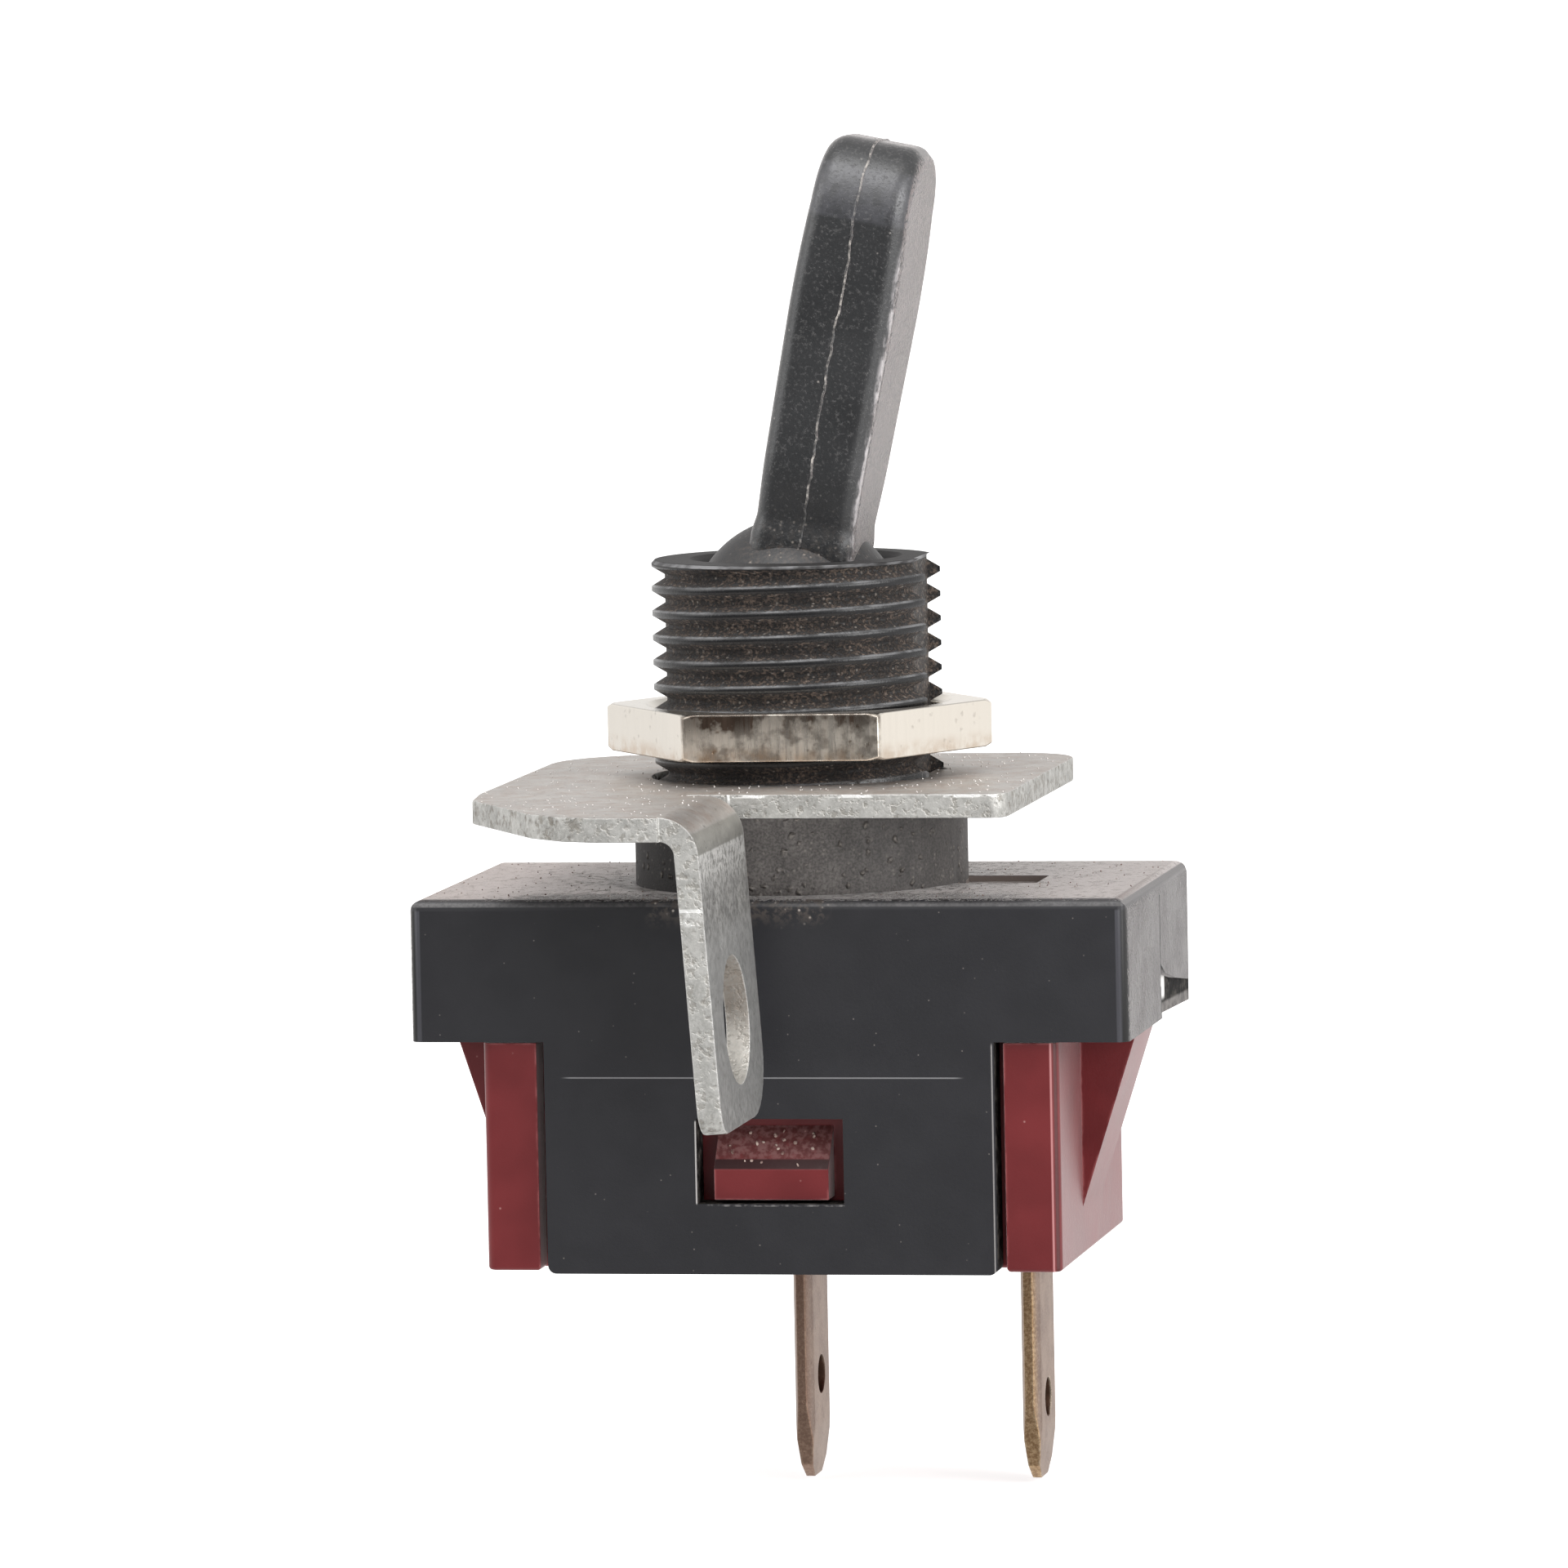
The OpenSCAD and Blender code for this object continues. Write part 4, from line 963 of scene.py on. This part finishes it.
def smooth_walk(rng, count, reach):
    """Slow random values between -1 and 1."""
    knots = rng.uniform(-1, 1, count // reach + 4)
    at = np.arange(count) / reach
    i = at.astype(int)
    t = at - i
    t = t * t * (3 - 2 * t)
    return knots[i] * (1 - t) + knots[i + 1] * t


def paddle_mesh():
    """The flat paddle: its side outline carried across the thickness, with rounded long edges and a ridge of
    flash along the parting line."""
    root, tip, corner, edge = 6.6, 7.4, 3.0, 0.85
    foot, taper_from, waist_in = 1.2, 2.2, 0.5
    shoulder = PADDLE_L - corner
    root_t, widest, widest_t, crown = 4.15, 13.0, 4.42, 4.6
    thickness = [(taper_from, root_t), (widest, widest_t)]
    thickness += [(widest + crown * t, widest_t + 0.05 * t - 0.34 * t * t) for t in np.linspace(0.1, 1, 10)]

    def grown(z):
        return min(1.0, max(0.0, (z - taper_from) / (shoulder - taper_from)))

    path = []
    for z in np.linspace(foot, shoulder, 150):
        waist = waist_in * fade(z, 7.0, 3.4)
        path.append((waist - root / 2 - (tip - root) / 2 * grown(z), z, -1.0, 0.0))
    for a in np.linspace(0, math.pi / 2, 20)[1:]:
        path.append((-tip / 2 + corner - corner * math.cos(a), shoulder + corner * math.sin(a),
                     -math.cos(a), math.sin(a)))
    side = len(path)
    for y in np.linspace(-tip / 2 + corner, tip / 2 - corner, 10)[1:-1]:
        path.append((y, PADDLE_L, 0.0, 1.0))
    path += [(-y, z, -ny, nz) for y, z, ny, nz in reversed(path[:side])]
    count = len(path)
    rng = np.random.default_rng(11)
    wander = 0.06 * smooth_walk(rng, count, 25) + 0.035 * smooth_walk(rng, count, 3)
    wander = wander + 0.012 * rng.uniform(-1, 1, count)
    ridge = np.clip(0.55 + 0.5 * smooth_walk(rng, count, 5) + 0.3 * rng.uniform(-1, 1, count), 0.08, 1)

    # Each row: share of the half thickness, step across, stand-out, share of the wander, flash, rubbed (pale
    # edge band, partly a painted highlight).
    # The mould's right half stands back by the mismatch.
    mismatch = 0.03
    rows = []
    for a in np.radians(np.linspace(0, 90, 8)):
        rows.append((-1.0, edge * (1 - math.cos(a)), -edge * (1 - math.sin(a)), 0, 0, 0))
    rows.append((-0.4, 0.0, 0.0, 0, 0, 0))
    rows += [(0, step, 0.0, 1, flag, 0) for step, flag in ((-0.2, 0), (-0.05, 0), (-0.03, 1))]
    rows.append((0, 0.03, -mismatch / 2, 1, 1, 0))
    rows += [(0, step, -mismatch, 1, 0, 0) for step in (0.05, 0.2)]
    rows.append((0.4, 0.0, -mismatch, 0, 0, 0))
    for a, rubbed in ((90, 0), (82, 0), (72, 0), (62, 0), (32, 0.7), (22, 1.0), (10, 0.2), (0, 0)):
        c, s = math.cos(math.radians(a)), math.sin(math.radians(a))
        rows.append((1.0, -edge * (1 - c), -edge * (1 - s) - mismatch * s, 0, 0, rubbed))
    flare_out, ridge_out = 0.12, 0.05
    points, flash, rub = [], [], []
    for share, step, out, follow, flag, rubbed in rows:
        for i, (y, z, ny, nz) in enumerate(path):
            half = np.interp(z, *zip(*thickness)) / 2
            flare = flare_out * fade(z, 4.6, 3.6) * fade(z, 2.5, 3.0)
            stand = out + ridge_out * ridge[i] * flag + flare * abs(ny)
            x = share * (half + flare) + step + follow * wander[i]
            points.append(on_lever(x, y + ny * stand, z + nz * stand))
            flash.append(flag * ridge[i])
            rub.append(rubbed * max(0.0, -ny) * fade(z, 18.5, 15.0))
    faces = []
    for k in range(len(rows) - 1):
        for i in range(count):
            j = (i + 1) % count
            faces.append((k * count + i, k * count + j, (k + 1) * count + j, (k + 1) * count + i))
    faces.append(tuple(reversed(range(count))))
    faces.append(tuple(range((len(rows) - 1) * count, len(rows) * count)))
    mesh = bpy.data.meshes.new("lever_moulding")
    mesh.from_pydata(points, [], faces)
    for name, values in (("flash", flash), ("rubbed", rub)):
        attribute = mesh.attributes.new(name, "FLOAT", "POINT")
        attribute.data.foreach_set("value", np.array(values, np.float32))
    return outward(mesh)


def outward(mesh):
    bm = bmesh.new()
    bm.from_mesh(mesh)
    bmesh.ops.recalc_face_normals(bm, faces=bm.faces)
    bm.to_mesh(mesh)
    bm.free()
    return mesh


def turned_mesh(name, profile, steps, place):
    """A closed solid of revolution. The profile is (radius, height) pairs that start and end on the axis."""
    points, faces = [place(0, 0, profile[0][1])], []
    inner = profile[1:-1]
    for r, z in inner:
        for i in range(steps):
            a = 2 * math.pi * i / steps
            points.append(place(r * math.cos(a), r * math.sin(a), z))
    points.append(place(0, 0, profile[-1][1]))
    last = len(points) - 1
    for i in range(steps):
        j = (i + 1) % steps
        faces.append((0, 1 + j, 1 + i))
        for k in range(len(inner) - 1):
            a = 1 + k * steps
            faces.append((a + i, a + j, a + steps + j, a + steps + i))
        a = 1 + (len(inner) - 1) * steps
        faces.append((a + i, a + j, last))
    mesh = bpy.data.meshes.new(name)
    mesh.from_pydata(points, [], faces)
    return outward(mesh)


def make_lever(material, dulled):
    """Paddle, ball and hollow stem as one moulding."""
    stem, well, stem_end = 2.8, 1.72, -11.5
    profile = [(0, BALL_R)]
    lowest = math.asin(math.sqrt(BALL_R ** 2 - stem ** 2) / BALL_R)
    for a in np.linspace(math.pi / 2, -lowest, 40)[1:]:
        profile.append((BALL_R * math.cos(a), BALL_R * math.sin(a)))
    profile += [(stem, stem_end), (well, stem_end), (well, WELL_TOP), (0, WELL_TOP)]
    lever = new_object("lever_moulding", paddle_mesh())
    lower = new_object("lever_ball", turned_mesh("lever_ball", profile, 72, on_lever))
    join_solids(lever, lower)
    shade(lever, angle=38)
    wear(lever, material, dulled)
    middle = Vector((0, 0, PIVOT_Z))
    for face in lever.data.polygons:
        face.material_index = 1 if abs((face.center / MM - middle).length - BALL_R) < 0.03 else 0
    return lever


def make_cover(material, torn_and_shade, threaded):
    """The cover's solid with softened edges and its thread cut round the bushing."""
    cover = merged_copy("housing_cover", "cover_moulding")
    soften(cover, 0.07, angle=50)
    run_tree(cover, thread_tree(), Crest_radius=BUSH_R * MM, Pitch=1.02 * MM, Depth=0.55 * MM,
             Root_flat=0.16 * MM, Start_height=0.6 * MM, End_height=10.8 * MM, Material=material)
    shade(cover, angle=62)
    wear(cover, material, torn_and_shade, threaded)
    chip_x, chip_top = 12.0, -6.9
    for face in cover.data.polygons:
        x, y, z = (c / MM for c in face.center)
        way = face.normal
        broken = chip_x < x < END_X - 0.03 and y > SEAM_Y and z < chip_top and way.z > -0.9
        # Flap sides and window walls take the dull torn black as painted shade
        flap_side = z < BAND_BOT and abs(abs(x) - FLAP_X) < 0.1 and abs(way.x) > 0.6
        behind_front = abs(y) < -FRONT_Y - 0.05 and abs(way.y) < 0.6
        in_window = z < BAND_BOT and abs(x) < WINDOW_X + 0.15 and behind_front
        bushing = z > BAND_TOP + 0.05 and math.hypot(x, y) < NECK_R + 0.9
        face.material_index = 2 if bushing else 1 if broken or flap_side or in_window else 0
    return cover


def make_spring(material):
    spring = new_object("plunger_coil", bpy.data.meshes.new("plunger_coil"))
    length = WELL_TOP - SPRING_SEAT
    run_tree(spring, coil_tree(), Coil_radius=1.3 * MM, Wire_radius=0.19 * MM, Length=length * MM, Turns=6.5,
             Lean=LEVER_TILT, Foot=on_lever(0, 0, SPRING_SEAT), Material=material)
    shade(spring, angle=60)
    return spring


def scatter(name, patch, size, per_area, rounding, seed, material):
    """Crumbs over a patch. Their size is in millimetres and their number is for a square millimetre."""
    crumbs = new_object(name, patch)
    run_tree(crumbs, crumb_tree(), Size=size * MM, Per_area=per_area / MM ** 2, Rounding=rounding, Seed=seed,
             Material=material)
    shade(crumbs, angle=80)
    return crumbs


def make_crumbs(material):
    """Crumbs of dirt on the front catch's ramp."""
    half, foot, head = 2.3, (-8.2, -14.42), (-7.05, -12.95)
    corners = [(-half, *foot), (half, *foot), (half, *head), (-half, *head)]
    mesh = bpy.data.meshes.new("ramp_crumbs")
    mesh.from_pydata([tuple(c * MM for c in p) for p in corners], [], [(0, 1, 2, 3)])
    return scatter("ramp_crumbs", mesh, size=0.085, per_area=2.2, rounding=2, seed=7, material=material)


def make_grains(name, piece, low, high, size, per_area, seed, material):
    """Grains on those faces of a piece that lie flat between two heights."""
    flat = [tuple(f.vertices) for f in piece.data.polygons
            if f.normal.z > 0.98 and low < f.center.z / MM < high]
    mesh = bpy.data.meshes.new(name)
    mesh.from_pydata([v.co[:] for v in piece.data.vertices], [], flat)
    return scatter(name, mesh, size, per_area, rounding=1, seed=seed, material=material)


def make_base(material):
    """The base's solid with the feet of its corner posts rounded."""
    base = merged_copy("base", "base_moulding")
    bm = bmesh.new()
    bm.from_mesh(base.data)
    foot_round, sharp = 0.35, 0.8
    outer = [e for e in bm.edges if e.calc_face_angle(0) > sharp and all(
        abs(v.co.z / MM - BASE_BOT) < 0.02 and abs(v.co.x / MM) > POST_X - 0.05 for v in e.verts)]
    bmesh.ops.bevel(bm, geom=outer, offset=foot_round * MM, segments=4, profile=0.5, affect="EDGES",
                    clamp_overlap=True)
    bm.to_mesh(base.data)
    bm.free()
    soften(base, 0.12)
    shade(base)
    wear(base, material)
    return base


def make_copy(node, name, material, width, angle=35):
    piece = merged_copy(node, name)
    soften(piece, width, angle=angle)
    shade(piece)
    wear(piece, material)
    return piece


def mark_sheared_faces(ob):
    """Puts the second material on the punched edges of the folded sheet."""
    for face in ob.data.polygons:
        x, y, z = (c / MM for c in face.center)
        on_tongue = y < PLATE_FRONT - 0.3
        if on_tongue and x > FOLD_X and z > FOLD_Z:
            across = Vector((x - FOLD_X, 0, z - FOLD_Z)).normalized()
        elif on_tongue and z < FOLD_Z + 0.1:
            across = Vector((math.cos(LUG_LEAN), 0, math.sin(LUG_LEAN)))
        else:
            across = Vector((0, 0, 1))
        face.material_index = 1 if abs(face.normal.dot(across)) < 0.5 else 0


def make_plate(sheet, sheared):
    plate = merged_copy("earth_plate", "earth_sheet")
    soften(plate, 0.1, angle=40)
    shade(plate)
    wear(plate, sheet, sheared)
    mark_sheared_faces(plate)
    return plate


def place_piece(piece, body, node):
    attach(piece, body)
    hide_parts(node)


# Camera, floor and light

def set_camera():
    """The photograph's own view: turned, dipped and rolled a little, with a long lens."""
    yaw, pitch, roll = 0.1854, 0.0852, 0.02
    eye = Vector((87.0655, -467.9408, 41.2046)) * MM
    focal_px, photo_px, sensor = 14109.87, 1920, 36.0
    forward = Vector((-math.sin(yaw) * math.cos(pitch), math.cos(yaw) * math.cos(pitch), -math.sin(pitch)))
    level = Vector((math.cos(yaw), math.sin(yaw), 0))
    below = forward.cross(level)
    right = math.cos(roll) * level + math.sin(roll) * below
    down = math.cos(roll) * below - math.sin(roll) * level
    data = bpy.data.cameras.new("view")
    data.sensor_fit = "HORIZONTAL"
    data.sensor_width = sensor
    data.lens = focal_px / photo_px * sensor
    data.clip_start = 0.01
    data.clip_end = 50
    camera = new_object("view", data)
    turn = Matrix((right, -down, -forward)).transposed()
    camera.matrix_world = Matrix.Translation(eye) @ turn.to_4x4()
    bpy.context.scene.camera = camera


def set_floor():
    """A plain pale floor just under the spades' tips, lit a little by itself so that it stays white."""
    mesh = bpy.data.meshes.new("floor")
    half, gap = 6.0, 0.2
    z = (SPADE_TIP_Z - gap) * MM
    mesh.from_pydata([(-half, -half, z), (half, -half, z), (half, half, z), (-half, half, z)], [],
                     [(0, 1, 2, 3)])
    floor = new_object("floor", mesh)
    material = bpy.data.materials.new("floor_white")
    material.use_nodes = True
    shader = material.node_tree.nodes["Principled BSDF"]
    shader.inputs["Base Color"].default_value = (0.6, 0.6, 0.6, 1)
    shader.inputs["Roughness"].default_value = 0.9
    shader.inputs["Specular IOR Level"].default_value = 0.0
    shader.inputs["Emission Color"].default_value = (1, 1, 1, 1)
    shader.inputs["Emission Strength"].default_value = 0.72
    mesh.materials.append(material)
    floor.visible_glossy = False


def set_sky():
    """White all round, dimmer behind the photographer, and plain white to the eye."""
    world = bpy.data.worlds.new("studio")
    world.use_nodes = True
    bpy.context.scene.world = world
    net = Net(world.node_tree)
    net.tree.nodes.clear()
    way = net.node("ShaderNodeTexCoord").outputs["Generated"]
    behind_viewer = (-0.42, -0.9, 0.08)
    toward = net.node("ShaderNodeVectorMath", {0: way, 1: behind_viewer},
                      operation="DOT_PRODUCT").outputs["Value"]
    depth, height = net.split(way)[1], net.split(way)[2]
    front = net.ramp(toward, 0.0, 0.85, 1.0, 0.26)
    above = net.ramp(depth, -0.1, 0.5, 1.45, 0.6)
    glow = net.blend(net.ramp(height, 0.2, 0.45), front, above)
    soft = net.node("ShaderNodeBackground", {"Color": (1.0, 0.99, 0.98, 1), "Strength": glow}).outputs[0]
    plain = net.node("ShaderNodeBackground", {"Color": (1, 1, 1, 1), "Strength": 1.0}).outputs[0]
    seen = net.node("ShaderNodeLightPath").outputs["Is Camera Ray"]
    mixed = net.node("ShaderNodeMixShader", {0: seen, 1: soft, 2: plain}).outputs[0]
    net.node("ShaderNodeOutputWorld", {0: mixed})


def soft_box(name, spot, size, power):
    """A square lamp at a spot, in metres, aimed at the middle of the part."""
    data = bpy.data.lights.new(name, "AREA")
    data.shape = "SQUARE"
    data.size = size
    data.energy = power
    light = new_object(name, data)
    at = Vector(spot)
    middle = Vector((0, 0, -0.005))
    aim = middle - at
    light.matrix_world = Matrix.Translation(at) @ aim.to_track_quat("-Z", "Y").to_matrix().to_4x4()


def set_lights():
    set_sky()
    soft_box("overhead_box", (-0.04, -0.16, 0.42), 0.3, 0.8)
    soft_box("left_box", (-0.48, -0.12, 0.16), 0.3, 0.5)
    soft_box("right_box", (0.44, -0.2, 0.12), 0.3, 1.4)
    bpy.context.scene.view_settings.view_transform = "Standard"


set_camera()
set_floor()
set_lights()

black_cover = cover_plastic()
torn_and_shaded_cover = broken_plastic()
dirty_thread = thread_plastic()
black_lever = lever_plastic()
dull_ball = ball_plastic()
red_base = base_plastic()
dry_dirt = crumb_dirt()
nickel = nut_plating()
sheet_zinc = zinc_sheet()
cut_zinc = zinc_sheared()
bronze = spade_bronze()
pin_steel = inner_metal("pin_steel", rgb(150, 150, 148), rgb(180, 180, 178), 0.25)
rocker_brass = inner_metal("rocker_brass", rgb(176, 138, 78), rgb(202, 164, 98), 0.28)
contact_silver = inner_metal("contact_silver", rgb(196, 196, 194), rgb(226, 226, 224), 0.22)
white_plunger = plunger_plastic()

cover = make_cover(black_cover, torn_and_shaded_cover, dirty_thread)
plate = make_plate(sheet_zinc, cut_zinc)
cover_grains = make_grains("cover_grains", cover, BAND_TOP - 0.05, BAND_TOP + 0.05, size=0.045, per_area=0.5,
                           seed=3, material=dry_dirt)
plate_grains = make_grains("plate_grains", plate, PLATE_TOP - 0.1, PLATE_TOP + 0.1, size=0.05, per_area=0.8,
                           seed=5, material=sheet_zinc)
ramp_crumbs = make_crumbs(dry_dirt)
place_piece(cover, "switch_body", "housing_cover")
place_piece(make_base(red_base), "switch_body", "base")
place_piece(plate, "switch_body", "earth_plate")
for grains, slot in ((ramp_crumbs, "red_base"), (cover_grains, "black_cover"), (plate_grains, "zinc_plate")):
    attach(grains, "switch_body")
place_piece(make_copy("common_terminal", "common_spade", bronze, 0.05), "switch_body",
            "common_terminal")
place_piece(make_copy("switched_terminal", "switched_spade", bronze, 0.05), "switch_body",
            "switched_terminal")
place_piece(make_copy("hex_nut", "nut_plated", nickel, 0.06), "nut", "hex_nut")
place_piece(make_lever(black_lever, dull_ball), "lever", "toggle_lever")
coil = make_spring(pin_steel)
place_piece(coil, "lever", "plunger_spring")
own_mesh(coil)

for node, material in (("pivot_pin", pin_steel), ("plunger", white_plunger), ("rocker", rocker_brass),
                       ("moving_contact", contact_silver), ("fixed_contact", contact_silver)):
    wear(frame["nodes"][node], material)
